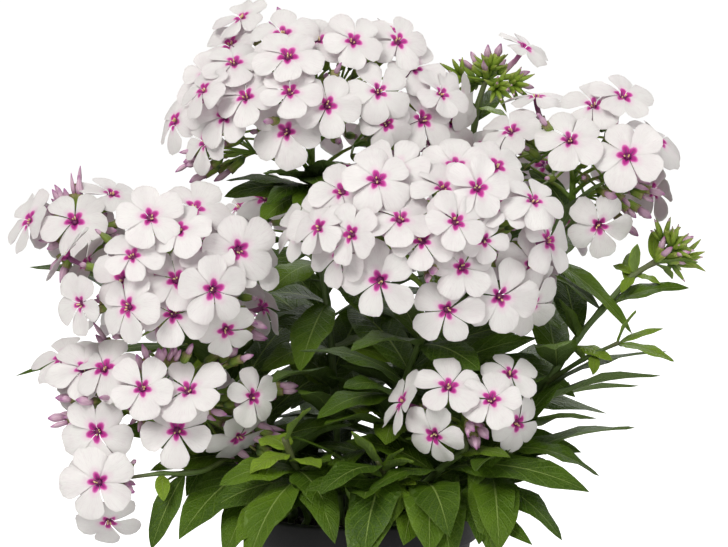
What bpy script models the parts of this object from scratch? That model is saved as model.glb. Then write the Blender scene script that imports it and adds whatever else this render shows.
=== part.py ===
"""A garden phlox in flower, in its round nursery pot.

Sixteen leafy stems stand in holes in the potting soil. Each ends in a head of five-petalled
flowers, in a cluster of buds or in a tuft of young leaves. Metres, +Z up, the origin under the
middle of the pot, the front of the plant towards -Y.
"""

import math

import bmesh
import bpy
import numpy as np
from mathutils import Vector
from mathutils.bvhtree import BVHTree

# Driving dimensions, in millimetres
MM = 0.001
GAP = 0.35

# The pot and its soil
POT_HEIGHT = 100.0
POT_RIM_RADIUS = 48.0
POT_FOOT_RADIUS = 34.0
POT_WALL = 1.6
BASE_THICK = 2.0
RIM_BAND = 11.0
RIM_STEP = 1.8
RIM_ROUND = 1.2
RIM_DRAFT = 0.5
FOOT_ROUND = (1.0, 3.0)
TURNED_STEPS = 32
DRAIN_HOLES = 6
DRAIN_RADIUS = 3.5
DRAIN_CIRCLE = 24.0
HOLE_SIDES = 8
SOIL_TOP = 90.0
SOIL_HEAP = ((12.0, 0.0), (30.0, 0.6))
SOIL_DROP = 2.5

# Stems
STEM_RADIUS = 1.6
STEM_TOP_SHARE = 0.68
STEM_DEPTH = 32.0
STEM_PLAY = 0.15
FOOT_STOPS = (4.0, 10.0)
UNDER_HEAD = (8.0, 3.0)
BRANCH_SHARES = (0.7, 0.5)
PATH_STEPS = 6

# Leaves: an outline gives places along the midrib and the breadth there as a share of the widest.
LEAF_LENGTH = 62.0
LEAF_SPREAD = 0.145
LEAF_THICKNESS = 1.0
LEAF_ARCH = 0.16
LEAF_EDGE_RISE = 0.1
NARROWEST_HALF = 0.8
STALK_START = 0.7
SMALL_LEAF_LENGTH = 52.0
LARGE_LEAF = ((0.0, 0.1), (0.2, 0.76), (0.45, 1.0), (0.76, 0.6))
SMALL_LEAF = ((0.0, 0.2), (0.3, 0.95), (0.65, 0.75))
NODE_SPACING = 29.0
FIRST_NODE = 12.0
TAKEN_WITHIN = 9.0
TAKEN_TURN = 0.55

# Flowers: the rim of a flower's plate has three corners at each lobe, with their turn from the
# lobe's middle, and their reach and drop as shares of the flower's radius.
FLOWER_RADIUS = 15.0
FLOWER_SIZES = (0.94, 1.06)
LOBES = 5
RIM_CORNERS = ((-0.35, 1.0, 0.06), (0.35, 1.0, 0.02), (math.pi / 5, 0.5, 0.02))
PLATE_RISE = 0.25
COLLAR_RADIUS = 1.8
COLLAR_DEPTH = 0.9
COLLAR_TURN = 0.5
CLOSEST_FLOWERS = 12.5
RULE_FLOWERS = 18.0
ROOT_SHARE = 0.72

# Buds
BUD_WAIST = 0.72
BUD_BELLIES = (1.7, 2.3)
BUD_STAND = 1.25
BUD_ROOT_SHARE = 0.8
CLUSTER_BELLY = 1.8
CLUSTER_ROOT = 0.25

# The core of a head is smaller than its dome. A link joins the cores of a head with two domes.
CORE_SHRINK = 16.0
CORE_LEAST = 0.45
LINK_RADIUS = 4.0

# Room kept round a piece while the plant is laid out: its margin in mm and how much thicker a
# plate or a keel is taken to be.
ROD_MARGIN = 0.4
BUD_MARGIN = 0.4
LEAF_MARGIN = 0.4
LEAF_SWELL = 1.7
FLOWER_MARGIN = 0.5
FLOWER_SWELL = 1.6
RIM_MARGIN = 0.8

# Places seen from the front are columns and rows of a sight grid: one step is 0.4 mm in the
# plane through the pot's axis, and a depth says how far behind that plane a place lies.
STEP = 0.4
AXIS_COLUMN = 360.0
FOOT_ROW = 547.0
FOOT_HEIGHT = 85.0
EYE = np.array([1.6, -1193.0, 320.0])
UP = np.array([0.0, 0.0, 1.0])
TO_FRONT = np.array([0.0, -1.0, 0.12])

# How far faces turn: flowers to the front and up, leaves outwards and to the front.
FACE_FRONT = 0.5
FACE_UP = 0.2
RULE_FACE_UP = 0.45
LEAN_OUT = 0.12
LEAN_FRONT = 0.25

# The rule for flowers round the back: the highest place on the dome and how far down they go as
# shares of its radius, the step between heights, and how far forward they come.
HIGHEST = 0.95
HEIGHT_SPAN = 1.35
HEIGHT_STEP = 0.618
GOLDEN_TURN = math.pi * (3 - math.sqrt(5))
MOST_TRIED = 160
FORWARD_LIMIT = -0.05

# Ways for a flower to stand: how far it is lifted out in mm, how far it tips to its side and
# back, and its size.
FLOWER_TRIES = [(lift, side, back, 1.0) for lift in (0, 3, -3, 5)
                for side, back in ((0, 0), (0.25, 0), (-0.25, 0), (0, 0.25), (0, -0.25))]
FLOWER_TRIES += [(0, 0, 0.3, 0.85), (0, 0, -0.3, 0.85), (0, 0, 0, 0.7)]

# Ways for a leaf to lie: its turn round the stem, its rise as a share of its length, its size.
SEEN_TRIES = [(0, 0, 1), (0, 0.1, 1), (0, -0.1, 1), (0.15, 0, 1), (-0.15, 0, 1), (0.3, 0.1, 0.95),
              (-0.3, 0.1, 0.95), (0.2, -0.15, 0.9), (-0.2, -0.15, 0.9), (0, 0, 0.8), (0.4, 0, 0.75),
              (-0.4, 0, 0.75), (0, 0.2, 0.65)]
RULE_TRIES = [(0, 0, 1), (0.35, 0, 1), (-0.35, 0, 1), (0, 0.2, 0.9), (0, -0.2, 0.9),
              (0.6, 0.1, 0.8), (-0.6, 0.1, 0.8), (0.3, -0.2, 0.7), (-0.3, -0.2, 0.7),
              (0, 0.3, 0.6), (0.8, 0, 0.6), (-0.8, 0, 0.6)]

# Flower heads: middle of the dome (column, row, depth), its radii in mm, the flowers and buds
# seen from the front (column, row), and how many flowers the rule adds round the back.
HEADS = {
    "head_top": dict(
        domes=[((312, 118, 5), (54, 40, 42))],
        flowers=[(242, 18), (283, 34), (318, 33), (351, 46), (390, 29), (225, 39), (235, 62),
                 (290, 60), (414, 67), (207, 77), (216, 93), (246, 96), (194, 98), (175, 121),
                 (225, 116), (205, 142), (328, 105), (284, 132), (379, 91), (387, 124),
                 (423, 119), (452, 120), (460, 99), (443, 141)],
        buds=[(271, 14), (278, 8), (343, 13), (365, 20), (322, 70), (343, 74), (256, 119),
              (184, 162), (190, 182), (415, 154)],
        behind=12,
    ),
    "head_middle": dict(
        domes=[((428, 245, -40), (52, 38, 38))],
        flowers=[(379, 281), (447, 311), (394, 168), (455, 165), (496, 165), (384, 188),
                 (443, 187), (471, 195), (400, 218), (453, 224), (501, 205), (521, 205),
                 (484, 240), (549, 240), (547, 267), (320, 218), (296, 229), (359, 235),
                 (333, 255), (422, 240), (465, 269), (501, 297), (532, 304), (347, 194)],
        buds=[(373, 178), (359, 198), (439, 169), (538, 250), (554, 207), (432, 273)],
        behind=8,
    ),
    "head_right": dict(
        domes=[((572, 168, 5), (38, 32, 30))],
        flowers=[(599, 226), (592, 104), (614, 107), (535, 96), (569, 139), (510, 130),
                 (622, 156), (473, 143), (658, 140)],
        buds=[(544, 115), (555, 163), (494, 120), (635, 126), (645, 154), (654, 166),
              (647, 174), (664, 194), (651, 218), (616, 197), (638, 236), (606, 250)],
        behind=8,
    ),
    "head_left": dict(
        domes=[((168, 280, -25), (42, 34, 36)), ((158, 398, -25), (44, 32, 24))],
        flowers=[(195, 207), (178, 233), (210, 240), (253, 262), (177, 279), (208, 289),
                 (130, 305), (173, 314), (226, 331), (112, 280), (79, 304), (153, 226),
                 (234, 252), (135, 257), (187, 390), (143, 390), (103, 368), (61, 358),
                 (83, 369), (253, 398), (176, 432), (238, 440), (95, 434)],
        buds=[(92, 325), (95, 335), (158, 349), (170, 350), (191, 361), (136, 355),
              (130, 367), (144, 333), (237, 349), (248, 358), (267, 329), (265, 341),
              (217, 388), (54, 399), (46, 420), (75, 401), (93, 402), (68, 426),
              (116, 412), (122, 434), (226, 416), (274, 433), (250, 462), (280, 462),
              (293, 446), (298, 387)],
        behind=9,
    ),
    "head_low_left": dict(
        domes=[((110, 478, -42), (14, 13, 13))],
        flowers=[(96, 485), (107, 518), (80, 461)],
        buds=[(127, 475), (132, 496), (116, 463)],
        behind=0,
    ),
    "head_far_left": dict(
        domes=[((80, 232, 20), (17, 17, 15))],
        flowers=[(75, 220), (113, 193), (29, 220)],
        buds=[(80, 175), (53, 189), (65, 188), (97, 188), (141, 203), (34, 205), (40, 230),
              (47, 249), (71, 262), (117, 231), (60, 283)],
        behind=2,
    ),
    "head_front": dict(
        domes=[((465, 412, -58), (21, 17, 15))],
        flowers=[(434, 438), (409, 404), (449, 387), (492, 400), (511, 374), (519, 425)],
        buds=[(456, 367), (475, 433), (489, 441), (480, 450), (457, 465)],
        behind=0,
    ),
    "head_back": dict(
        domes=[((322, 226, 80), (38, 28, 28))], flowers=[], buds=[], behind=13,
    ),
    "head_back_left": dict(
        domes=[((171, 326, 72), (30, 24, 26))], flowers=[], buds=[], behind=10,
    ),
    "head_back_right": dict(
        domes=[((508, 206, 80), (30, 24, 24))], flowers=[], buds=[], behind=10,
    ),
}

# Leafy stems: where the foot stands in the soil (x, y in mm), the places that the stem passes
# (column, row, depth), and the head that it carries, or None.
STEMS = {
    "stem_top": dict(foot=(-8, 3), via=[(330, 330, 2)], head="head_top"),
    "stem_middle": dict(foot=(8, -10), via=[(400, 400, -24)], head="head_middle"),
    "stem_right": dict(foot=(21, 3), via=[(480, 340, 6)], head="head_right"),
    "stem_left": dict(foot=(-22, -8), via=[(262, 462, -14)], head="head_left"),
    "stem_far_left": dict(foot=(-28, 9), via=[(235, 400, 24), (150, 300, 26)], head="head_far_left"),
    "stem_front": dict(foot=(15, -23), via=[(432, 480, -44)], head="head_front"),
    "stem_buds_top": dict(foot=(9, 13), via=[(452, 250, 26), (476, 112, 27)], head=None,
                          end=(487, 78, 27)),
    "stem_buds_right": dict(foot=(31, -10), via=[(545, 385, -16), (578, 339, -14), (609, 302, -12),
                                                 (634, 275, -8)], head=None, end=(657, 261, -6)),
    "stem_back": dict(foot=(-5, 25), via=[(340, 380, 52)], head="head_back"),
    "stem_back_left": dict(foot=(-19, 21), via=[(250, 440, 46)], head="head_back_left"),
    "stem_back_right": dict(foot=(13, 27), via=[(440, 370, 52)], head="head_back_right"),
    "shoot_front": dict(foot=(1, -30), via=[(392, 500, -48)], head=None, end=(378, 462, -58)),
    "shoot_front_right": dict(foot=(27, -24), via=[(500, 470, -46)], head=None, end=(530, 398, -52)),
    "shoot_front_left": dict(foot=(-13, -25), via=[(300, 480, -44)], head=None, end=(284, 440, -52)),
    "shoot_back_left": dict(foot=(-28, 18), via=[(262, 450, 32)], head=None, end=(180, 425, 46)),
    "shoot_back_right": dict(foot=(29, 17), via=[(470, 440, 30)], head=None, end=(570, 385, 42)),
}

# Branches: the stem, the place where one leaves it and the places that it passes.
BRANCHES = {
    "stem_left": [[(236, 470, -22), (200, 474, -36), (160, 476, -42), (129, 480, -42)]],
    "stem_buds_right": [[(545, 385, -16), (584, 360, -22), (620, 343, -26)]],
}

# Bud clusters with no open head: the stem, the middle (column, row, depth) and the tips of the
# buds (column, row) with their depths from the middle.
CLUSTERS = {
    "stem_buds_top": dict(middle=(487, 82, 27),
                          tips=[(487, 45, 0), (458, 60, -4), (483, 60, -9), (529, 72, -6),
                                (533, 88, 4), (451, 73, 6), (505, 60, 9), (470, 52, 8),
                                (500, 44, -4), (515, 92, -10), (518, 58, -2)]),
    "stem_buds_right": dict(middle=(657, 261, -6),
                            tips=[(693, 236, 0), (690, 252, -6), (678, 238, 5), (664, 236, -3),
                                  (672, 247, -9), (688, 262, 6)]),
}

# Leaves that show: the stem that bears one, how high it leaves it (row), its tip (column, row,
# depth), its length in mm to its widest breadth in mm, and how far its back arches.
LEAVES = {
    "stem_top": [
        (196, (262, 222, -22), 17, 0.16), (196, (352, 190, -30), 12, 0.12),
        (176, (238, 152, -34), 14, 0.10), (262, (270, 292, -20), 15, 0.16),
        (262, (372, 322, -18), 16, 0.15), (300, (300, 372, -26), 17, 0.12),
        (350, (262, 372, -16), 16, 0.20), (350, (410, 372, -12), 16, 0.16),
    ],
    "stem_middle": [
        (345, (470, 372, -62), 16, 0.16), (345, (352, 352, -60), 17, 0.16),
        (400, (318, 420, -56), 19, 0.18), (420, (470, 430, -50), 17, 0.18),
    ],
    "stem_right": [
        (262, (632, 334, -26), 11, 0.14), (300, (560, 330, -22), 15, 0.18),
        (360, (575, 398, -10), 16, 0.18), (262, (500, 262, 36), 13, 0.14),
    ],
    "stem_left": [
        (466, (178, 543, -58), 21, 0.20), (450, (286, 400, -24), 13, 0.16),
        (430, (308, 440, -30), 15, 0.18),
    ],
    "stem_far_left": [
        (345, (15, 377, 6), 7, 0.10), (300, (112, 262, 40), 10, 0.12),
        (262, (122, 246, 4), 9, 0.12),
    ],
    "stem_front": [
        (470, (590, 495, -74), 18, 0.16), (500, (533, 549, -78), 14, 0.16),
        (492, (385, 548, -84), 19, 0.16), (452, (392, 442, -68), 13, 0.14),
    ],
    "stem_buds_top": [
        (107, (437, 82, 22), 6, 0.10), (107, (506, 117, 14), 6, 0.10),
        (150, (540, 152, 44), 10, 0.12), (150, (420, 170, 46), 10, 0.12),
    ],
    "stem_buds_right": [
        (275, (637, 245, -12), 5, 0.10), (275, (614, 266, -2), 5, 0.10),
        (275, (660, 284, -10), 6, 0.12), (275, (622, 292, -16), 5, 0.08),
        (261, (697, 262, -14), 5, 0.10), (261, (672, 278, 2), 5, 0.10),
        (262, (652, 232, 2), 5, 0.08), (338, (560, 300, -30), 8, 0.10),
        (345, (612, 361, -30), 7, 0.10),
    ],
    "shoot_front": [
        (470, (352, 434, -66), 8, 0.06), (470, (400, 446, -68), 8, 0.06),
        (488, (306, 494, -74), 15, 0.16), (496, (362, 552, -84), 20, 0.18),
        (488, (430, 500, -74), 10, 0.14),
    ],
    "shoot_front_right": [
        (425, (626, 396, -58), 17, 0.14), (440, (628, 430, -66), 17, 0.14),
        (480, (480, 548, -80), 16, 0.18), (405, (566, 372, -60), 12, 0.12),
    ],
    "shoot_front_left": [
        (495, (236, 547, -74), 20, 0.16), (470, (330, 520, -70), 17, 0.18),
        (455, (250, 476, -60), 13, 0.14), (445, (310, 410, -56), 12, 0.10),
    ],
}
# Leaves borne by branches: where one leaves the branch and its tip, as above.
BRANCH_LEAVES = {
    "stem_left": [
        ((182, 475, -38), (150, 552, -46), 11, 0.10), ((160, 476, -42), (162, 503, -50), 6, 0.08),
        ((122, 480, -42), (64, 462, -36), 6, 0.10),
    ],
    "stem_buds_right": [
        ((620, 343, -26), (646, 299, -28), 6, 0.10), ((620, 343, -26), (674, 362, -34), 8, 0.10),
        ((620, 343, -26), (672, 336, -22), 4, 0.08), ((595, 354, -23), (594, 372, -32), 5, 0.06),
        ((584, 360, -22), (572, 346, -30), 5, 0.06),
    ],
}


def seen(column, row, depth):
    """The point at this depth on the sight line through a place of the front grid."""
    on_plane = np.array([(column - AXIS_COLUMN) * STEP, 0.0, FOOT_HEIGHT + (FOOT_ROW - row) * STEP])
    return EYE + (depth - EYE[1]) / -EYE[1] * (on_plane - EYE)


def unit(vector):
    return vector / np.linalg.norm(vector)


def square_to(direction, hint):
    """Two directions at right angles to a direction, the first one as near as can be to the hint."""
    first = hint - direction * (hint @ direction)
    if np.linalg.norm(first) < 0.05:
        first = np.array([1.0, 0.3, 0.2]) - direction * direction[0]
    first = unit(first)
    return first, np.cross(direction, first)


# Small closed shapes, each as (points, faces)


def plate_faces(corners):
    """Faces of a flower: a fan on top, and below a collar of three corners that joins the rim."""
    collar, share = 1 + corners, corners // 3
    faces = []
    for rim in range(corners):
        here, after = 1 + rim, 1 + (rim + 1) % corners
        ring, next_ring = collar + rim // share, collar + (rim + 1) % corners // share
        faces += [(0, here, after), (ring, after, here)]
        if next_ring != ring:
            faces += [(ring, next_ring, after), (ring, collar + 3, next_ring)]
    return faces


def flower_shape(centre, face, roll, root, radius, swell=1.0):
    """A thin plate with five round lobes, and a tube that narrows from its underside to the root."""
    across, along = square_to(face, UP)
    points = [centre + face * PLATE_RISE * swell]
    for petal in range(LOBES):
        middle = roll + petal * math.tau / LOBES
        for turn, reach, drop in RIM_CORNERS:
            way = across * math.cos(middle + turn) + along * math.sin(middle + turn)
            points.append(centre + way * reach * radius - face * drop * radius)
    for corner in range(3):
        turn = roll + COLLAR_TURN + corner * math.tau / 3
        way = across * math.cos(turn) + along * math.sin(turn)
        points.append(centre + way * COLLAR_RADIUS - face * COLLAR_DEPTH * swell)
    points.append(root)
    return points, plate_faces(LOBES * len(RIM_CORNERS))


def bud_shape(root, tip, belly):
    """A spindle of three sides, widest near its tip."""
    axis = unit(tip - root)
    across, along = square_to(axis, UP)
    waist = root + (tip - root) * BUD_WAIST
    points = [root, tip]
    for side in range(3):
        turn = side * math.tau / 3
        points.append(waist + (across * math.cos(turn) + along * math.sin(turn)) * belly)
    faces = []
    for side in range(3):
        here, after = 2 + side, 2 + (side + 1) % 3
        faces += [(0, after, here), (1, here, after)]
    return points, faces


def leaf_shape(base, tip, half_width, arch, lean, swell=1.0):
    """A lance-shaped blade from its stalk to its point, with a keel under its midrib."""
    reach = np.linalg.norm(tip - base)
    back, _ = square_to(unit(tip - base), lean)
    bend = (base + tip) / 2 + back * arch * reach
    outline = LARGE_LEAF if reach > SMALL_LEAF_LENGTH else SMALL_LEAF
    points = []
    for place, breadth in outline:
        on_rib = base * (1 - place) ** 2 + bend * 2 * place * (1 - place) + tip * place ** 2
        ahead = unit((bend - base) * (1 - place) + (tip - bend) * place)
        top, side = square_to(ahead, lean)
        wide = max(half_width * breadth, NARROWEST_HALF)
        points += [on_rib - side * wide + top * LEAF_EDGE_RISE * wide,
                   on_rib + side * wide + top * LEAF_EDGE_RISE * wide,
                   on_rib - top * LEAF_THICKNESS * swell]
    points.append(tip)
    faces = [(0, 1, 2)]
    for ring in range(len(outline) - 1):
        low = ring * 3
        for corner in range(3):
            after = (corner + 1) % 3
            faces += [(low + corner, low + 3 + corner, low + 3 + after),
                      (low + corner, low + 3 + after, low + after)]
    last = len(points) - 4
    faces += [(last + corner, last + 3, last + (corner + 1) % 3) for corner in range(3)]
    return points, faces


def ball_shape(centre, radii):
    """The smaller core of a head: a round body of eight sides."""
    points = [centre - UP * radii[2]]
    for ring in (1, 2, 3):
        height = -math.cos(ring * math.pi / 4)
        around = math.sin(ring * math.pi / 4)
        for side in range(8):
            turn = side * math.tau / 8
            points.append(centre + np.array([math.cos(turn) * around * radii[0],
                                             math.sin(turn) * around * radii[1],
                                             height * radii[2]]))
    points.append(centre + UP * radii[2])
    faces = []
    for side in range(8):
        after = (side + 1) % 8
        faces += [(0, 1 + after, 1 + side), (25, 17 + side, 17 + after)]
        for low in (1, 9):
            faces += [(low + side, low + after, low + 8 + after),
                      (low + side, low + 8 + after, low + 8 + side)]
    return points, faces


def tube_shape(path, radii, sides=6):
    """The closed tube along a path, as shapes are tested against it."""
    points, faces = [], []
    for place, point in enumerate(path):
        ahead = unit(path[min(place + 1, len(path) - 1)] - path[max(place - 1, 0)])
        across, along = square_to(ahead, np.array([1.0, 0.0, 0.0]))
        for side in range(sides):
            turn = side * math.tau / sides
            points.append(point + (across * math.cos(turn) + along * math.sin(turn)) * radii[place])
    for place in range(len(path) - 1):
        for side in range(sides):
            here, after = place * sides + side, place * sides + (side + 1) % sides
            faces += [(here, after, after + sides), (here, after + sides, here + sides)]
    last = (len(path) - 1) * sides
    for side in range(1, sides - 1):
        faces += [(0, side + 1, side), (last, last + side, last + side + 1)]
    return points, faces


def ring_shape(inner, outer, low, high, sides=24):
    """A closed band round the upright axis, for the pot's rim and the soil's surface."""
    points = []
    for side in range(sides):
        turn = side * math.tau / sides
        way = np.array([math.cos(turn), math.sin(turn), 0.0])
        points += [way * inner + UP * low, way * outer + UP * low,
                   way * outer + UP * high, way * inner + UP * high]
    faces = []
    for side in range(sides):
        here, after = side * 4, (side + 1) % sides * 4
        for corner in range(4):
            turned_corner = (corner + 1) % 4
            faces += [(here + corner, after + corner, after + turned_corner),
                      (here + corner, after + turned_corner, here + turned_corner)]
    return points, faces


# The layout: every piece finds a place where it crosses no other node


class Layout:
    """What stands where: pieces are added to a node only where they are clear of the others."""

    def __init__(self):
        self.pieces = []

    def tree(self, shape):
        points = np.array(shape[0])
        tree = BVHTree.FromPolygons([Vector(point) for point in points], shape[1])
        return points.min(axis=0), points.max(axis=0), tree

    def clear(self, node, shape):
        """Whether a shape cuts through no piece of another node."""
        low, high, tree = self.tree(shape)
        return not any(tree.overlap(piece[4]) for piece in self.pieces
                       if piece[0] != node and not ((low > piece[3]).any() or (high < piece[2]).any()))

    def crossings(self, node, kind, shape):
        """How many faces of the node's own pieces of this kind a shape would cut through."""
        low, high, tree = self.tree(shape)
        return sum(len(tree.overlap(piece[4])) for piece in self.pieces
                   if piece[:2] == (node, kind)
                   and not ((low > piece[3]).any() or (high < piece[2]).any()))

    def add(self, node, kind, shape):
        self.pieces.append((node, kind, *self.tree(shape)))


def head_domes(head):
    """The middles and radii of a head's domes."""
    return [(seen(*middle), np.array(radii, float)) for middle, radii in head["domes"]]


def core_radii(radii):
    return np.maximum(radii - CORE_SHRINK, radii * CORE_LEAST)


def smooth_path(stops, count):
    """Points along one smooth curve through the stops, spaced by the stops' own distances."""
    stops = np.array(stops)
    ends = [2 * stops[0] - stops[1], *stops, 2 * stops[-1] - stops[-2]]
    places = np.linspace(0, len(stops) - 1 - 1e-9, count)
    path = []
    for place in places:
        first = int(place)
        t = place - first
        a, b, c, d = ends[first:first + 4]
        path.append(0.5 * (2 * b + (c - a) * t + (2 * a - 5 * b + 4 * c - d) * t ** 2
                           + (3 * b - a - 3 * c + d) * t ** 3))
    return np.array(path)


def stem_path(stem):
    """A stem's middle line: straight in its hole, then one curve up to what it carries."""
    foot = np.array([*stem["foot"], SOIL_TOP])
    stops = [foot + UP * height for height in FOOT_STOPS]
    stops += [seen(*place) for place in stem["via"]]
    if stem["head"]:
        middle, radii = head_domes(HEADS[stem["head"]])[-1]
        under = middle - UP * (core_radii(radii)[2] + GAP)
        stops.append(under - UP * UNDER_HEAD[0])
    else:
        stops.append(seen(*stem["end"]))
    path = smooth_path(stops, 2 * len(stops) - 1)
    top = [under - UP * UNDER_HEAD[1], under] if stem["head"] else []
    return np.vstack([[foot - UP * (STEM_DEPTH - GAP), foot + UP], path, *top])


def stem_radii(path):
    """Thick at the foot and two thirds of that at the top."""
    return STEM_RADIUS * np.linspace(1.0, STEM_TOP_SHARE, len(path))


def finer(path):
    """A path with points in between."""
    return np.vstack([a + (b - a) * t for a, b in zip(path[:-1], path[1:])
                      for t in np.linspace(0, 1, PATH_STEPS)[:-1, None]])


def nearest(path, point):
    """The place on a path that is nearest to a point."""
    fine = finer(path)
    return fine[np.argmin(np.linalg.norm(fine - point, axis=1))]


def point_at_row(path, row):
    """The point of a stem that shows at this row."""
    fine = finer(path[2:])
    reach = -EYE[1] / (fine[:, 1] - EYE[1])
    heights = EYE[2] + (fine[:, 2] - EYE[2]) * reach
    rows = FOOT_ROW - (heights - FOOT_HEIGHT) / STEP
    return fine[np.argmin(np.abs(rows - row))]


def dome_place(column, row, domes):
    """Where the sight line meets the nearest dome: the point, the way out there, and the dome."""
    best = None
    for middle, radii in domes:
        start = (EYE - middle) / radii
        line = (seen(column, row, 0.0) - EYE) / radii
        a, b, c = line @ line, start @ line, start @ start - 1
        touch = start + line * (-b - math.sqrt(max(b * b - a * c, 0.0))) / a
        miss = np.linalg.norm(touch)
        if best is None or miss < best[0]:
            best = (miss, middle + touch * radii, unit(touch / radii), middle, radii)
    return best[1:]


def flower_from(place, draws):
    """A flower's centre, face, roll and the root of its tube, with its own draws."""
    point, face, middle, radii = place
    core = core_radii(radii)
    inside = middle + unit((point - middle) / core) * core * ROOT_SHARE
    return dict(centre=point, face=unit(unit(face) + draws.normal(0, 0.05, 3)),
                out=unit(point - middle), roll=draws.uniform(0, math.tau), root=inside,
                radius=FLOWER_RADIUS * draws.uniform(*FLOWER_SIZES))


def far_from(point, places, least):
    return all(np.linalg.norm(point - other[0]) > least for other in places)


def seen_places(head, domes):
    """Where the flowers that show in front open."""
    places = []
    for column, row in head["flowers"]:
        point, out, middle, radii = dome_place(column, row, domes)
        if far_from(point, places, CLOSEST_FLOWERS):
            places.append((point, out + FACE_FRONT * TO_FRONT + FACE_UP * UP, middle, radii))
    return places


def add_rule_places(head, domes, places):
    """Adds the flowers round the back: each a golden turn on from the last one."""
    wanted, tried = head["behind"], 0
    while wanted and tried < MOST_TRIED:
        middle, radii = domes[tried % len(domes)]
        height = HIGHEST - HEIGHT_SPAN * ((tried * HEIGHT_STEP) % 1.0)
        turn = GOLDEN_TURN * tried
        around = math.sqrt(1 - height * height)
        way = np.array([math.cos(turn) * around, math.sin(turn) * around, height])
        point = middle + way * radii
        tried += 1
        if head["flowers"] and way[1] < FORWARD_LIMIT:
            continue
        if far_from(point, places, RULE_FLOWERS):
            places.append((point, unit(way / radii) + RULE_FACE_UP * UP, middle, radii))
            wanted -= 1


def flower_places(head):
    """Where a head's flowers open, each with its face and its tube's root."""
    domes = head_domes(head)
    draws = np.random.default_rng(7 + len(head["flowers"]) * 31 + head["behind"])
    places = seen_places(head, domes)
    add_rule_places(head, domes, places)
    return [flower_from(place, draws) for place in places]


def stand_flower(layout, name, flower):
    """The way for a flower to stand that is clear of other nodes and cuts least of its own."""
    across, along = square_to(flower["face"], UP)
    best = None
    for lift, side, back, size in FLOWER_TRIES:
        trial = dict(flower)
        trial["centre"] = flower["centre"] + flower["out"] * lift
        trial["radius"] = flower["radius"] * size
        trial["face"] = unit(flower["face"] + side * across + back * along)
        shape = flower_shape(trial["centre"], trial["face"], trial["roll"], trial["root"],
                             trial["radius"] + FLOWER_MARGIN, FLOWER_SWELL)
        if not layout.clear(name, shape):
            continue
        cuts = layout.crossings(name, "flower", shape)
        if best is None or cuts < best[0]:
            best = (cuts, trial, shape)
        if cuts == 0:
            break
    if best:
        layout.add(name, "flower", best[2])
    return best[1] if best else None


def place_flowers(layout, name):
    flowers = [stand_flower(layout, name, flower) for flower in flower_places(HEADS[name])]
    return [flower for flower in flowers if flower]


def bud_place(column, row, domes):
    """A bud's tip just outside the nearest dome on its sight line, and its root in the core."""
    middle, radii = min(domes, key=lambda dome: np.linalg.norm(
        seen(column, row, dome[0][1]) - dome[0]))
    flat = seen(column, row, middle[1]) - middle
    out = np.linalg.norm(flat / radii)
    depth = -math.sqrt(max(BUD_STAND - out * out, 0.0)) * radii[1]
    tip = seen(column, row, middle[1] + depth)
    core = core_radii(radii)
    return middle + unit((tip - middle) / core) * core * BUD_ROOT_SHARE, tip


def place_buds(layout, name):
    """Closed buds that stand out of a head between its flowers."""
    kept = []
    domes = head_domes(HEADS[name])
    draws = np.random.default_rng(3)
    for column, row in HEADS[name]["buds"]:
        root, tip = bud_place(column, row, domes)
        belly = draws.uniform(*BUD_BELLIES)
        shape = bud_shape(root, tip, belly + BUD_MARGIN)
        if layout.clear(name, shape):
            layout.add(name, "bud", shape)
            kept.append(dict(root=root, tip=tip, belly=belly))
    return kept


def place_cluster(layout, name, cluster, path):
    """The buds of a cluster with no open flower, rooted in the stem's end."""
    middle = path[-1] + (path[-2] - path[-1]) * CLUSTER_ROOT
    kept = []
    for column, row, behind in cluster["tips"]:
        tip = seen(column, row, cluster["middle"][2] + behind)
        shape = bud_shape(middle, tip, CLUSTER_BELLY)
        if layout.clear(name, shape):
            layout.add(name, "bud", shape)
            kept.append(dict(root=middle, tip=tip, belly=CLUSTER_BELLY))
    return kept


def leaf_lean(base, tip):
    """Which way a leaf's upper face looks: up, and a little outwards."""
    out = np.array([tip[0] - base[0], tip[1] - base[1], 0.0])
    return unit(UP - LEAN_OUT * unit(out + 1e-6) + LEAN_FRONT * TO_FRONT)


def turned_leaf(away, turn, rise):
    """A leaf's line turned round the upright axis and raised."""
    return np.array([away[0] * math.cos(turn) - away[1] * math.sin(turn),
                     away[0] * math.sin(turn) + away[1] * math.cos(turn),
                     away[2] + rise * np.linalg.norm(away)])


def try_leaf(layout, name, base, tip, half_width, arch, tries):
    """Of a leaf's ways to lie, the one that is clear of other nodes and cuts least of its own."""
    away = tip - base
    base = base + unit(away) * STALK_START
    best = None
    for turn, rise, size in tries:
        trial = base + turned_leaf(away, turn, rise) * size
        lean = leaf_lean(base, trial)
        shape = leaf_shape(base, trial, half_width * size + LEAF_MARGIN, arch, lean, LEAF_SWELL)
        if not layout.clear(name, shape):
            continue
        cuts = layout.crossings(name, "leaf", shape)
        if best is None or cuts < best[0]:
            leaf = dict(base=base, tip=trial, half=half_width * size, arch=arch, lean=lean)
            best = (cuts, leaf, shape)
        if cuts == 0:
            break
    if best:
        layout.add(name, "leaf", best[2])
    return best[1] if best else None


def place_seen_leaves(layout, name, path, branches):
    """The leaves that show from the front, each on its stem or branch."""
    kept = []
    for row, tip, breadth, arch in LEAVES.get(name, []):
        kept.append(try_leaf(layout, name, point_at_row(path, row), seen(*tip), breadth / 2, arch,
                             SEEN_TRIES))
    for start, tip, breadth, arch in BRANCH_LEAVES.get(name, []):
        start = seen(*start)
        bases = [nearest(branch, start) for branch in branches]
        base = min(bases, key=lambda place: np.linalg.norm(place - start))
        kept.append(try_leaf(layout, name, base, seen(*tip), breadth / 2, arch, SEEN_TRIES))
    return [leaf for leaf in kept if leaf]


def lengths_along(path):
    """How far each point of a stem's line above the soil is from the first one."""
    steps = np.linalg.norm(np.diff(path[2:], axis=0), axis=1)
    return np.concatenate([[0], np.cumsum(steps)])


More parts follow.
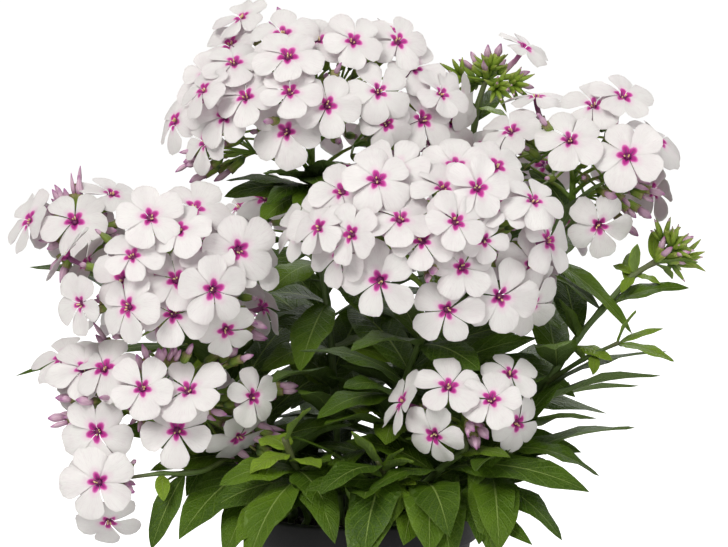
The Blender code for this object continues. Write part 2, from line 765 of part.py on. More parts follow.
def rule_reach(share, draws):
    """A leaf's length: longest half-way up the stem, and shorter again near its top."""
    reach = LEAF_LENGTH * (0.8 + 0.35 * math.sin(math.pi * min(share * 1.1, 1.0)))
    return reach * ((1.0 - 0.35 * max(share - 0.6, 0) / 0.4) * draws.uniform(0.88, 1.1))


def place_rule_leaves(layout, name, path, taken):
    """Opposite pairs up the stem, each pair a quarter turn from the last."""
    kept = []
    draws = np.random.default_rng(sum(map(ord, name)))
    along = lengths_along(path)
    first_turn = draws.uniform(0, math.tau)
    nodes = np.arange(FIRST_NODE, along[-1] - FIRST_NODE, NODE_SPACING)
    for pair, place in enumerate(nodes):
        spot = np.array([np.interp(place, along, path[2:, axis]) for axis in range(3)])
        share = place / along[-1]
        reach = rule_reach(share, draws)
        for half_turn in (0, math.pi):
            turn = first_turn + pair * math.pi / 2 + half_turn + draws.normal(0, 0.15)
            rise = 0.18 + 0.45 * share + draws.normal(0, 0.08)
            way = unit(np.array([math.cos(turn), math.sin(turn), rise]))
            if any(np.linalg.norm(leaf["base"] - spot) < TAKEN_WITHIN
                   and unit(leaf["tip"] - leaf["base"]) @ way > TAKEN_TURN for leaf in taken):
                continue
            kept.append(try_leaf(layout, name, spot, spot + way * reach, reach * LEAF_SPREAD,
                                 LEAF_ARCH, RULE_TRIES))
    return [leaf for leaf in kept if leaf]


def place_stems(layout, plan):
    """The lines of the stems and branches, which everything else keeps clear of."""
    for name, stem in STEMS.items():
        path = stem_path(stem)
        plan["paths"][name] = path
        layout.add(name, "rod", tube_shape(path, stem_radii(path) + ROD_MARGIN))
        plan["branches"][name] = []
        for stops in BRANCHES.get(name, []):
            places = [seen(*stop) for stop in stops]
            places[0] = nearest(path[2:], places[0])
            branch = smooth_path(places, 2 * len(places) - 1)
            plan["branches"][name].append(branch)
            radii = np.full(len(branch), STEM_RADIUS * BRANCH_SHARES[0] + ROD_MARGIN)
            layout.add(name, "rod", tube_shape(branch, radii))


def lay_out():
    """Places every piece of the plant: stems and cores first, then flowers, buds and leaves."""
    layout = Layout()
    plan = dict(paths={}, branches={}, flowers={}, buds={}, leaves={}, clusters={})
    layout.add("pot", "rim", ring_shape(POT_RIM_RADIUS - 7, POT_RIM_RADIUS + RIM_MARGIN,
                                        SOIL_TOP - 5, POT_HEIGHT + RIM_MARGIN))
    layout.add("soil", "top", ring_shape(0.1, POT_RIM_RADIUS - 6, SOIL_TOP - 6,
                                         SOIL_TOP + RIM_MARGIN))
    place_stems(layout, plan)
    for name, head in HEADS.items():
        for middle, radii in head_domes(head):
            layout.add(name, "core", ball_shape(middle, core_radii(radii)))
    for name, cluster in CLUSTERS.items():
        plan["clusters"][name] = place_cluster(layout, name, cluster, plan["paths"][name])
    for name in HEADS:
        plan["flowers"][name] = place_flowers(layout, name)
        plan["buds"][name] = place_buds(layout, name)
    for name, path in plan["paths"].items():
        plan["leaves"][name] = place_seen_leaves(layout, name, path, plan["branches"][name])
    for name, path in plan["paths"].items():
        plan["leaves"][name] += place_rule_leaves(layout, name, path, plan["leaves"][name])
    return plan


# Objects


def new_collection(name):
    collection = bpy.data.collections.new(name)
    bpy.context.scene.collection.children.link(collection)
    return collection


def finish(name, colour, roughness):
    material = bpy.data.materials.new(name)
    material.use_nodes = True
    shader = material.node_tree.nodes["Principled BSDF"]
    shader.inputs["Base Color"].default_value = (*colour, 1.0)
    shader.inputs["Roughness"].default_value = roughness
    material.diffuse_color = (*colour, 1.0)
    return material


def shape_object(name, shape, collection):
    """A closed shape in millimetres as an object in metres, its faces turned outwards."""
    mesh = bpy.data.meshes.new(name)
    mesh.from_pydata([tuple(point * MM) for point in np.array(shape[0])], [], shape[1])
    work = bmesh.new()
    work.from_mesh(mesh)
    bmesh.ops.recalc_face_normals(work, faces=work.faces)
    work.to_mesh(mesh)
    work.free()
    obj = bpy.data.objects.new(name, mesh)
    collection.objects.link(obj)
    return obj


def tube_object(name, path, radii, collection):
    """A round tube along a path, tapered, as a closed mesh."""
    curve = bpy.data.curves.new(name, "CURVE")
    curve.dimensions = "3D"
    curve.bevel_depth = MM
    curve.bevel_resolution = 1
    curve.use_fill_caps = True
    spline = curve.splines.new("POLY")
    spline.points.add(len(path) - 1)
    for point, place, radius in zip(spline.points, path, radii):
        point.co = (*(place * MM), 1.0)
        point.radius = radius
    guide = bpy.data.objects.new(name + "_guide", curve)
    collection.objects.link(guide)
    graph = bpy.context.evaluated_depsgraph_get()
    mesh = bpy.data.meshes.new_from_object(guide.evaluated_get(graph))
    work = bmesh.new()
    work.from_mesh(mesh)
    bmesh.ops.remove_doubles(work, verts=work.verts, dist=1e-6)
    bmesh.ops.triangulate(work, faces=work.faces)
    work.to_mesh(mesh)
    work.free()
    bpy.data.objects.remove(guide)
    bpy.data.curves.remove(curve)
    obj = bpy.data.objects.new(name, mesh)
    collection.objects.link(obj)
    return obj


def island_volumes(work):
    """The connected bodies of a mesh, each as its faces and its signed volume."""
    left = set(work.faces)
    bodies = []
    while left:
        queue = [left.pop()]
        body = set(queue)
        while queue:
            for edge in queue.pop().edges:
                for face in edge.link_faces:
                    if face in left:
                        left.discard(face)
                        body.add(face)
                        queue.append(face)
        volume = 0.0
        for face in body:
            a, b, c = (loop.vert.co for loop in face.loops)
            volume += a.dot(b.cross(c)) / 6
        bodies.append((body, volume))
    return bodies


def fuse(name, first, others, material, parts):
    """Joins a node's shapes into one body; sealed hollows are filled and loose scraps dropped."""
    union = first.modifiers.new("joined", "BOOLEAN")
    union.operation = "UNION"
    union.operand_type = "COLLECTION"
    union.collection = others
    union.solver = "MANIFOLD"
    graph = bpy.context.evaluated_depsgraph_get()
    mesh = bpy.data.meshes.new_from_object(first.evaluated_get(graph))
    for obj in list(others.objects):
        bpy.data.objects.remove(obj)
    bpy.data.collections.remove(others)
    work = bmesh.new()
    work.from_mesh(mesh)
    bmesh.ops.triangulate(work, faces=work.faces)
    bodies = sorted(island_volumes(work), key=lambda body: -abs(body[1]))
    for body, volume in bodies[1:]:
        print("dropped from", name, len(body), "faces,", round(volume * 1e9, 2), "mm3")
        bmesh.ops.delete(work, geom=list(body), context="FACES")
    loose = [vert for vert in work.verts if not vert.link_faces]
    bmesh.ops.delete(work, geom=loose, context="VERTS")
    work.to_mesh(mesh)
    work.free()
    mesh.name = name
    print(name, len(mesh.polygons), "triangles")
    bpy.data.objects.remove(first)
    parts.objects.link(bpy.data.objects.new(name, mesh))
    mesh.materials.clear()
    mesh.materials.append(material)


def stem_object(name, plan, material, parts):
    """A leafy stem with its branches, leaves and bud clusters."""
    path = plan["paths"][name]
    others = new_collection(name + "_pieces")
    first = tube_object(name + "_rod", path, stem_radii(path), parts)
    for number, branch in enumerate(plan["branches"][name]):
        radii = np.linspace(*(STEM_RADIUS * share for share in BRANCH_SHARES), len(branch))
        tube_object(f"{name}_branch_{number}", branch, radii, others)
    for number, leaf in enumerate(plan["leaves"][name]):
        shape = leaf_shape(leaf["base"], leaf["tip"], leaf["half"], leaf["arch"], leaf["lean"])
        shape_object(f"{name}_leaf_{number}", shape, others)
    for number, bud in enumerate(plan["clusters"].get(name, [])):
        shape_object(f"{name}_bud_{number}", bud_shape(bud["root"], bud["tip"], bud["belly"]), others)
    fuse(name, first, others, material, parts)


def head_object(name, plan, material, parts):
    """A flower head: its open flowers, their tubes and the buds, standing out of a smaller core."""
    others = new_collection(name + "_pieces")
    cores = [ball_shape(middle, core_radii(radii)) for middle, radii in head_domes(HEADS[name])]
    first = shape_object(name + "_core", cores[0], parts)
    for number, core in enumerate(cores[1:]):
        shape_object(f"{name}_core_{number}", core, others)
        link = [middle for middle, _ in head_domes(HEADS[name])[number:number + 2]]
        tube_object(f"{name}_link_{number}", link, [LINK_RADIUS, LINK_RADIUS], others)
    for number, flower in enumerate(plan["flowers"][name]):
        shape = flower_shape(flower["centre"], flower["face"], flower["roll"], flower["root"],
                             flower["radius"])
        shape_object(f"{name}_flower_{number}", shape, others)
    for number, bud in enumerate(plan["buds"][name]):
        shape_object(f"{name}_bud_{number}", bud_shape(bud["root"], bud["tip"], bud["belly"]), others)
    fuse(name, first, others, material, parts)


def turned(name, profile, material, parts):
    """A turned body from its outline, which runs down its outer side."""
    mesh = bpy.data.meshes.new(name)
    points = [(radius * MM, 0.0, height * MM) for radius, height in profile]
    mesh.from_pydata(points, [(i, i + 1) for i in range(len(points) - 1)], [])
    obj = bpy.data.objects.new(name, mesh)
    parts.objects.link(obj)
    screw = obj.modifiers.new("turn", "SCREW")
    screw.steps = TURNED_STEPS
    screw.render_steps = TURNED_STEPS
    screw.use_merge_vertices = True
    screw.merge_threshold = 0.00005
    screw.use_smooth_shade = True
    mesh.materials.append(material)
    return obj


def cut_with(cutters, target):
    """Cuts every solid of a collection out of the target."""
    cut = target.modifiers.new("holes", "BOOLEAN")
    cut.operation = "DIFFERENCE"
    cut.operand_type = "COLLECTION"
    cut.collection = cutters


def round_cutter(name, radius, low, high, place, collection):
    """An upright round cutter between two heights."""
    bpy.ops.mesh.primitive_cylinder_add(vertices=HOLE_SIDES, radius=radius * MM,
                                        depth=(high - low) * MM,
                                        location=(place[0] * MM, place[1] * MM, (low + high) / 2 * MM))
    cutter = bpy.context.object
    cutter.name = name
    for owner in list(cutter.users_collection):
        owner.objects.unlink(cutter)
    collection.objects.link(cutter)
    cutter.hide_render = True
    cutter.display_type = "WIRE"


def wall_radius(height):
    """The outer radius of the pot's tapered wall."""
    top = POT_RIM_RADIUS - RIM_STEP
    return POT_FOOT_RADIUS + (top - POT_FOOT_RADIUS) * height / POT_HEIGHT


def pot_object(material, parts):
    """A tapered pot with a thicker band at its rim, a raised foot edge and drain holes."""
    band = POT_HEIGHT - RIM_BAND
    inner_top = wall_radius(POT_HEIGHT) - POT_WALL
    foot_in, foot_up = FOOT_ROUND
    profile = [(inner_top, POT_HEIGHT), (POT_RIM_RADIUS - RIM_ROUND / 2, POT_HEIGHT),
               (POT_RIM_RADIUS, POT_HEIGHT - RIM_ROUND), (POT_RIM_RADIUS - RIM_DRAFT, band),
               (wall_radius(band), band - 1.0), (wall_radius(foot_up), foot_up),
               (wall_radius(0.0) - foot_in, 0.0), (0.0, 0.0)]
    inside = [(0.0, BASE_THICK), (wall_radius(BASE_THICK) - POT_WALL, BASE_THICK)]
    pot = turned("pot", profile + inside + [profile[0]], material, parts)
    holes = new_collection("drain_cutters")
    for number in range(DRAIN_HOLES):
        turn = number * math.tau / DRAIN_HOLES
        place = (DRAIN_CIRCLE * math.cos(turn), DRAIN_CIRCLE * math.sin(turn))
        round_cutter(f"drain_cutter_{number}", DRAIN_RADIUS, -2.0, BASE_THICK + 1.0, place, holes)
    cut_with(holes, pot)


def soil_object(material, parts):
    """The potting soil that fills the pot, a little heaped, with a hole for each stem."""
    low, side = BASE_THICK + GAP, SOIL_TOP - SOIL_DROP
    profile = [(0.0, SOIL_TOP)]
    profile += [(radius, SOIL_TOP - drop) for radius, drop in SOIL_HEAP]
    profile += [(wall_radius(height) - POT_WALL - GAP, height) for height in (side, low)]
    soil = turned("soil", profile + [(0.0, low)], material, parts)
    holes = new_collection("stem_cutters")
    for name, stem in STEMS.items():
        round_cutter(name + "_cutter", STEM_RADIUS + GAP + STEM_PLAY, SOIL_TOP - STEM_DEPTH,
                     SOIL_TOP + 5, stem["foot"], holes)
    cut_with(holes, soil)


def build():
    for obj in list(bpy.data.objects):
        bpy.data.objects.remove(obj)
    parts = new_collection("phlox_plant")
    plan = lay_out()
    pot_object(finish("black_plastic", (0.015, 0.016, 0.02), 0.45), parts)
    soil_object(finish("potting_soil", (0.05, 0.033, 0.022), 0.95), parts)
    leaf_green = finish("leaf_green", (0.09, 0.2, 0.05), 0.5)
    petal_white = finish("petal_white", (0.9, 0.84, 0.88), 0.5)
    for name in STEMS:
        stem_object(name, plan, leaf_green, parts)
    for name in HEADS:
        head_object(name, plan, petal_white, parts)
    for name in HEADS:
        print(name, len(plan["flowers"][name]), "flowers", len(plan["buds"][name]), "buds")
    print("leaves", {name: len(leaves) for name, leaves in plan["leaves"].items()})


build()
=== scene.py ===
# %% [markdown]
# # A garden phlox in its pot
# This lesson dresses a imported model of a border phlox: sixteen leafy stems in a round pot, domes
# of white flowers with a magenta eye, and clusters of lilac buds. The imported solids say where
# everything stands. They are plain on purpose, so each cell below replaces one sort of them with
# surfaces worked out as arrays, and gives them a finish made of shader nodes.

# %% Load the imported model
import math

import bpy
import numpy as np
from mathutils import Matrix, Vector
from mathutils.bvhtree import BVHTree


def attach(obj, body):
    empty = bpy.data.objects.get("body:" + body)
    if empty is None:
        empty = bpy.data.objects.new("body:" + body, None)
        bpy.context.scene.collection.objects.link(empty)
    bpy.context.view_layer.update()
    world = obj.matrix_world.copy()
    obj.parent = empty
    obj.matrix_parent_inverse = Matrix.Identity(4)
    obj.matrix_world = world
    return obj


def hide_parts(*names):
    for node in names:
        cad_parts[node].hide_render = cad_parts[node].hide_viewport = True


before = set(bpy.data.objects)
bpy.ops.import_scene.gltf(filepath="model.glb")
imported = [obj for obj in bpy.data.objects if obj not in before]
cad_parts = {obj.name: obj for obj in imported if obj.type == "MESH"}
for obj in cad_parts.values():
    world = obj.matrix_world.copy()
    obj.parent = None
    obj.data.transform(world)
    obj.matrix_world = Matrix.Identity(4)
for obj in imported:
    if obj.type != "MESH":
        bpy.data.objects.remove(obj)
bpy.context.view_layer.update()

MM = 0.001

# %% [markdown]
# ## The picture's frame
# Places seen from the front are columns and rows of a sight grid on the upright plane through
# the pot's axis. One step of the grid is 0.4 mm there. The eye stands well over a metre in front
# of the plant and a little above it, which is how a studio photographs a pot plant. A long lens
# from far away keeps the plant's own proportions.

# %% The sight grid and the camera
STEP = 0.4
AXIS_COLUMN = 360.0
FOOT_ROW = 547.0
FOOT_HEIGHT = 85.0
PICTURE_COLUMNS = 728
PICTURE_ROWS = 547
SENSOR = 36.0
EYE = np.array([1.6, -1193.0, 320.0])
UP = np.array([0.0, 0.0, 1.0])
TO_FRONT = np.array([0.0, -1.0, 0.12])


def seen(column, row, depth):
    """The point at this depth on the sight line through a place of the front grid."""
    on_plane = np.array([(column - AXIS_COLUMN) * STEP, 0.0, FOOT_HEIGHT + (FOOT_ROW - row) * STEP])
    return EYE + (depth - EYE[1]) / -EYE[1] * (on_plane - EYE)


aim = seen(PICTURE_COLUMNS / 2, PICTURE_ROWS / 2, 0.0)
lens = bpy.data.cameras.new("front_view")
lens.sensor_width = SENSOR
lens.lens = SENSOR * np.linalg.norm(aim - EYE) / (PICTURE_COLUMNS * STEP)
lens.clip_end = 50.0
camera = bpy.data.objects.new("front_view", lens)
camera.location = EYE * MM
camera.rotation_euler = Vector(aim - EYE).to_track_quat("-Z", "Y").to_euler()
bpy.context.scene.collection.objects.link(camera)
bpy.context.scene.camera = camera
print("focal length", round(lens.lens, 1), "mm")

# %% [markdown]
# ## What grows where
# The tables are the plant's own plan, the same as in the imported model. A head is a dome, or two,
# with the flowers and buds that show in front, and a count of flowers that a rule spreads over
# its back. A stem has its foot in the soil, the places it passes and what it carries.

# %% The plan of heads
# Flower heads: middle of the dome (column, row, depth), its radii in mm, the flowers and buds
# seen from the front (column, row), and how many flowers the rule adds round the back.
HEADS = {
    "head_top": dict(
        domes=[((312, 118, 5), (54, 40, 42))],
        flowers=[(242, 18), (283, 34), (318, 33), (351, 46), (390, 29), (225, 39), (235, 62),
                 (290, 60), (414, 67), (207, 77), (216, 93), (246, 96), (194, 98), (175, 121),
                 (225, 116), (205, 142), (328, 105), (284, 132), (379, 91), (387, 124),
                 (423, 119), (452, 120), (460, 99), (443, 141)],
        buds=[(271, 14), (278, 8), (343, 13), (365, 20), (322, 70), (343, 74), (256, 119),
              (184, 162), (190, 182), (415, 154)],
        behind=12,
    ),
    "head_middle": dict(
        domes=[((428, 245, -40), (52, 38, 38))],
        flowers=[(379, 281), (447, 311), (394, 168), (455, 165), (496, 165), (384, 188),
                 (443, 187), (471, 195), (400, 218), (453, 224), (501, 205), (521, 205),
                 (484, 240), (549, 240), (547, 267), (320, 218), (296, 229), (359, 235),
                 (333, 255), (422, 240), (465, 269), (501, 297), (532, 304), (347, 194)],
        buds=[(373, 178), (359, 198), (439, 169), (538, 250), (554, 207), (432, 273)],
        behind=8,
    ),
    "head_right": dict(
        domes=[((572, 168, 5), (38, 32, 30))],
        flowers=[(599, 226), (592, 104), (614, 107), (535, 96), (569, 139), (510, 130),
                 (622, 156), (473, 143), (658, 140)],
        buds=[(544, 115), (555, 163), (494, 120), (635, 126), (645, 154), (654, 166),
              (647, 174), (664, 194), (651, 218), (616, 197), (638, 236), (606, 250)],
        behind=8,
    ),
    "head_left": dict(
        domes=[((168, 280, -25), (42, 34, 36)), ((158, 398, -25), (44, 32, 24))],
        flowers=[(195, 207), (178, 233), (210, 240), (253, 262), (177, 279), (208, 289),
                 (130, 305), (173, 314), (226, 331), (112, 280), (79, 304), (153, 226),
                 (234, 252), (135, 257), (187, 390), (143, 390), (103, 368), (61, 358),
                 (83, 369), (253, 398), (176, 432), (238, 440), (95, 434)],
        buds=[(92, 325), (95, 335), (158, 349), (170, 350), (191, 361), (136, 355),
              (130, 367), (144, 333), (237, 349), (248, 358), (267, 329), (265, 341),
              (217, 388), (54, 399), (46, 420), (75, 401), (93, 402), (68, 426),
              (116, 412), (122, 434), (226, 416), (274, 433), (250, 462), (280, 462),
              (293, 446), (298, 387)],
        behind=9,
    ),
    "head_low_left": dict(
        domes=[((110, 478, -42), (14, 13, 13))],
        flowers=[(96, 485), (107, 518), (80, 461)],
        buds=[(127, 475), (132, 496), (116, 463)],
        behind=0,
    ),
    "head_far_left": dict(
        domes=[((80, 232, 20), (17, 17, 15))],
        flowers=[(75, 220), (113, 193), (29, 220)],
        buds=[(80, 175), (53, 189), (65, 188), (97, 188), (141, 203), (34, 205), (40, 230),
              (47, 249), (71, 262), (117, 231), (60, 283)],
        behind=2,
    ),
    "head_front": dict(
        domes=[((465, 412, -58), (21, 17, 15))],
        flowers=[(434, 438), (409, 404), (449, 387), (492, 400), (511, 374), (519, 425)],
        buds=[(456, 367), (475, 433), (489, 441), (480, 450), (457, 465)],
        behind=0,
    ),
    "head_back": dict(
        domes=[((322, 226, 80), (38, 28, 28))], flowers=[], buds=[], behind=13,
    ),
    "head_back_left": dict(
        domes=[((171, 326, 72), (30, 24, 26))], flowers=[], buds=[], behind=10,
    ),
    "head_back_right": dict(
        domes=[((508, 206, 80), (30, 24, 24))], flowers=[], buds=[], behind=10,
    ),
}
CORE_SHRINK = 16.0

# Leafy stems: where the foot stands in the soil (x, y in mm), the places that the stem passes
# (column, row, depth), and the head that it carries, or None.
STEMS = {
    "stem_top": dict(foot=(-8, 3), via=[(330, 330, 2)], head="head_top"),
    "stem_middle": dict(foot=(8, -10), via=[(400, 400, -24)], head="head_middle"),
    "stem_right": dict(foot=(21, 3), via=[(480, 340, 6)], head="head_right"),
    "stem_left": dict(foot=(-22, -8), via=[(262, 462, -14)], head="head_left"),
    "stem_far_left": dict(foot=(-28, 9), via=[(235, 400, 24), (150, 300, 26)],
                          head="head_far_left"),
    "stem_front": dict(foot=(15, -23), via=[(432, 480, -44)], head="head_front"),
    "stem_buds_top": dict(foot=(9, 13), via=[(452, 250, 26), (476, 112, 27)], head=None,
                          end=(487, 78, 27)),
    "stem_buds_right": dict(foot=(31, -10), via=[(545, 385, -16), (578, 339, -14), (609, 302, -12),
                                                 (634, 275, -8)], head=None, end=(657, 261, -6)),
    "stem_back": dict(foot=(-5, 25), via=[(340, 380, 52)], head="head_back"),
    "stem_back_left": dict(foot=(-19, 21), via=[(250, 440, 46)], head="head_back_left"),
    "stem_back_right": dict(foot=(13, 27), via=[(440, 370, 52)], head="head_back_right"),
    "shoot_front": dict(foot=(1, -30), via=[(392, 500, -48)], head=None, end=(378, 462, -58)),
    "shoot_front_right": dict(foot=(27, -24), via=[(500, 470, -46)], head=None,
                              end=(530, 398, -52)),
    "shoot_front_left": dict(foot=(-13, -25), via=[(300, 480, -44)], head=None,
                             end=(284, 440, -52)),
    "shoot_back_left": dict(foot=(-28, 18), via=[(262, 450, 32)], head=None, end=(180, 425, 46)),
    "shoot_back_right": dict(foot=(29, 17), via=[(470, 440, 30)], head=None, end=(570, 385, 42)),
}

# Branches: the stem, the place where one leaves it and the places that it passes.
BRANCHES = {
    "stem_left": [[(236, 470, -22), (200, 474, -36), (160, 476, -42), (129, 480, -42)]],
    "stem_buds_right": [[(545, 385, -16), (584, 360, -22), (620, 343, -26)]],
}

# Bud clusters with no open head: the stem, the middle (column, row, depth) and the tips of the
# buds (column, row) with their depths from the middle.
CLUSTERS = {
    "stem_buds_top": dict(middle=(487, 82, 27),
                          tips=[(487, 45, 0), (458, 60, -4), (483, 60, -9), (529, 72, -6),
                                (533, 88, 4), (451, 73, 6), (505, 60, 9), (470, 52, 8),
                                (500, 44, -4), (515, 92, -10), (518, 58, -2)]),
    "stem_buds_right": dict(middle=(657, 261, -6),
                            tips=[(693, 236, 0), (690, 252, -6), (678, 238, 5), (664, 236, -3),
                                  (672, 247, -9), (688, 262, 6)]),
}

# Leaves that show, by stem: the row where one leaves it, its tip (column, row, depth), its widest
# breadth in mm, and how far its back arches as a share of its length.
LEAVES = {
    "stem_top": [
        (196, (262, 222, -22), 17, 0.16), (196, (352, 190, -30), 12, 0.12),
        (176, (238, 152, -34), 14, 0.10), (262, (270, 292, -20), 15, 0.16),
        (262, (372, 322, -18), 16, 0.15), (300, (300, 372, -26), 17, 0.12),
        (350, (262, 372, -16), 16, 0.20), (350, (410, 372, -12), 16, 0.16),
    ],
    "stem_middle": [
        (345, (470, 372, -62), 16, 0.16), (345, (352, 352, -60), 17, 0.16),
        (400, (318, 420, -56), 19, 0.18), (420, (470, 430, -50), 17, 0.18),
    ],
    "stem_right": [
        (262, (632, 334, -26), 11, 0.14), (300, (560, 330, -22), 15, 0.18),
        (360, (575, 398, -10), 16, 0.18), (262, (500, 262, 36), 13, 0.14),
    ],
    "stem_left": [
        (466, (178, 543, -58), 21, 0.20), (450, (286, 400, -24), 13, 0.16),
        (430, (308, 440, -30), 15, 0.18),
    ],
    "stem_far_left": [
        (345, (15, 377, 6), 7, 0.10), (300, (112, 262, 40), 10, 0.12),
        (262, (122, 246, 4), 9, 0.12),
    ],
    "stem_front": [
        (470, (590, 495, -74), 18, 0.16), (500, (533, 549, -78), 14, 0.16),
        (492, (385, 548, -84), 19, 0.16), (452, (392, 442, -68), 13, 0.14),
    ],
    "stem_buds_top": [
        (107, (437, 82, 22), 6, 0.10), (107, (506, 117, 14), 6, 0.10),
        (150, (540, 152, 44), 10, 0.12), (150, (420, 170, 46), 10, 0.12),
    ],
    "stem_buds_right": [
        (275, (637, 245, -12), 5, 0.10), (275, (614, 266, -2), 5, 0.10),
        (275, (660, 284, -10), 6, 0.12), (275, (622, 292, -16), 5, 0.08),
        (261, (697, 262, -14), 5, 0.10), (261, (672, 278, 2), 5, 0.10),
        (262, (652, 232, 2), 5, 0.08), (338, (560, 300, -30), 8, 0.10),
        (345, (612, 361, -30), 7, 0.10),
    ],
    "shoot_front": [
        (470, (352, 434, -66), 8, 0.06), (470, (400, 446, -68), 8, 0.06),
        (488, (306, 494, -74), 15, 0.16), (496, (362, 552, -84), 20, 0.18),
        (488, (430, 500, -74), 10, 0.14),
    ],
    "shoot_front_right": [
        (425, (626, 396, -58), 17, 0.14), (440, (628, 430, -66), 17, 0.14),
        (480, (480, 548, -80), 16, 0.18), (405, (566, 372, -60), 12, 0.12),
    ],
    "shoot_front_left": [
        (495, (236, 547, -74), 20, 0.16), (470, (330, 520, -70), 17, 0.18),
        (455, (250, 476, -60), 13, 0.14), (445, (310, 410, -56), 12, 0.10),
    ],
}
# Leaves borne by branches: the place where one leaves the branch, then its tip and so on.
BRANCH_LEAVES = {
    "stem_left": [
        ((182, 475, -38), (150, 552, -46), 11, 0.10), ((160, 476, -42), (162, 503, -50), 6, 0.08),
        ((122, 480, -42), (64, 462, -36), 6, 0.10),
    ],
    "stem_buds_right": [
        ((620, 343, -26), (646, 299, -28), 6, 0.10), ((620, 343, -26), (674, 362, -34), 8, 0.10),
        ((620, 343, -26), (672, 336, -22), 4, 0.08), ((595, 354, -23), (594, 372, -32), 5, 0.06),
        ((584, 360, -22), (572, 346, -30), 5, 0.06),
    ],
}

# %% [markdown]
# ## Finding room
# A plan alone would let leaves run through each other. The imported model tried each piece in
# several ways with a plain test shape and kept the way that was clear of the other stems and
# heads. The same test is run here with the same shapes and draws, so each flower and leaf comes
# out where its solid is. A bounding volume tree answers quickly whether two shapes cross.

# %% Sizes and directions
POT_HEIGHT = 100.0
POT_RIM_RADIUS = 48.0
POT_FOOT_RADIUS = 34.0
POT_WALL = 1.6
SOIL_TOP = 90.0
GAP = 0.35
FLOWER_RADIUS = 15.0
CLOSEST_FLOWERS = 12.5
RULE_FLOWERS = 18.0
STEM_RADIUS = 1.6
STEM_DEPTH = 32.0
LEAF_LENGTH = 62.0
LEAF_SPREAD = 0.145
LEAF_THICKNESS = 1.0
NODE_SPACING = 29.0
SMALL_LEAF_LENGTH = 52.0
STALK_START = 0.7
FIRST_NODE = 12.0
ROUND = math.tau
GOLDEN_TURN = math.pi * (3 - math.sqrt(5))


def unit(vector):
    return vector / np.linalg.norm(vector, axis=-1, keepdims=True)


def square_to(direction, hint):
    """Two directions at right angles to this one, the first as near as can be to the hint."""
    first = hint - direction * (hint @ direction)
    if np.linalg.norm(first) < 0.05:
        first = np.array([1.0, 0.3, 0.2]) - direction * direction[0]
    first = unit(first)
    return first, np.cross(direction, first)


# %% Test shapes
# Each is (points, faces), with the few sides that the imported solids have.
LARGE_LEAF = ((0.0, 0.1), (0.2, 0.76), (0.45, 1.0), (0.76, 0.6))
SMALL_LEAF = ((0.0, 0.2), (0.3, 0.95), (0.65, 0.75))
NARROWEST_HALF = 0.8
LEAF_EDGE_RISE = 0.1
# Each lobe of a test flower has three corners. Reach and drop are shares of its radius.
LOBES = 5
CORNER_TURNS = [-0.35, 0.35, math.pi / LOBES]
CORNER_REACH = [1.0, 1.0, 0.5]
CORNER_DROP = [0.06, 0.02, 0.02]
PLATE_RISE = 0.25
COLLAR_RADIUS = 1.8
COLLAR_DEPTH = 0.9
COLLAR_TURN = 0.5
BUD_WAIST = 0.72


def ring_faces(rings, sides):
    """Triangles between rings of points that follow each other, without ends."""
    low = (np.arange(rings - 1)[:, None] * sides + np.arange(sides)).reshape(-1)
    after = (np.arange(rings - 1)[:, None] * sides + (np.arange(sides) + 1) % sides).reshape(-1)
    return np.vstack([np.stack([low, after, after + sides], 1),
                      np.stack([low, after + sides, low + sides], 1)]).tolist()


def plate_faces():
    """Triangles of a flower: its face, and its underside down to a ring of three and the root."""
    faces = []
    rim = 3 * LOBES
    collar = rim + 1
    for corner in range(rim):
        here, after = 1 + corner, 1 + (corner + 1) % rim
        ring, next_ring = collar + corner // LOBES, collar + (corner + 1) % rim // LOBES
        faces += [(0, here, after), (ring, after, here)]
        if next_ring != ring:
            faces += [(ring, next_ring, after), (ring, collar + 3, next_ring)]
    return faces


PLATE_FACES = plate_faces()


def flower_shape(centre, face, roll, root, radius, swell=1.0):
    """A thin plate with five lobes, and a tube that narrows from its underside to the root."""
    across, along = square_to(face, UP)
    turns = roll + np.repeat(np.arange(LOBES), 3) * ROUND / LOBES + np.tile(CORNER_TURNS, LOBES)
    reach = np.tile(CORNER_REACH, LOBES)[:, None] * radius
    drop = np.tile(CORNER_DROP, LOBES)[:, None] * radius
    way = np.cos(turns)[:, None] * across + np.sin(turns)[:, None] * along
    corners = roll + COLLAR_TURN + np.arange(3) * ROUND / 3
    ring = np.cos(corners)[:, None] * across + np.sin(corners)[:, None] * along
    return np.vstack([centre + face * PLATE_RISE * swell, centre + way * reach - face * drop,
                      centre + ring * COLLAR_RADIUS - face * COLLAR_DEPTH * swell,
                      root]), PLATE_FACES


def bud_shape(root, tip, belly):
    """A spindle of three sides, widest near its tip."""
    across, along = square_to(unit(tip - root), UP)
    turns = np.arange(3)[:, None] * ROUND / 3
    way = np.cos(turns) * across + np.sin(turns) * along
    waist = root + (tip - root) * BUD_WAIST + way * belly
    faces = [(0, 2 + (side + 1) % 3, 2 + side) for side in range(3)]
    faces += [(1, 2 + side, 2 + (side + 1) % 3) for side in range(3)]
    return np.vstack([root, tip, waist]), faces


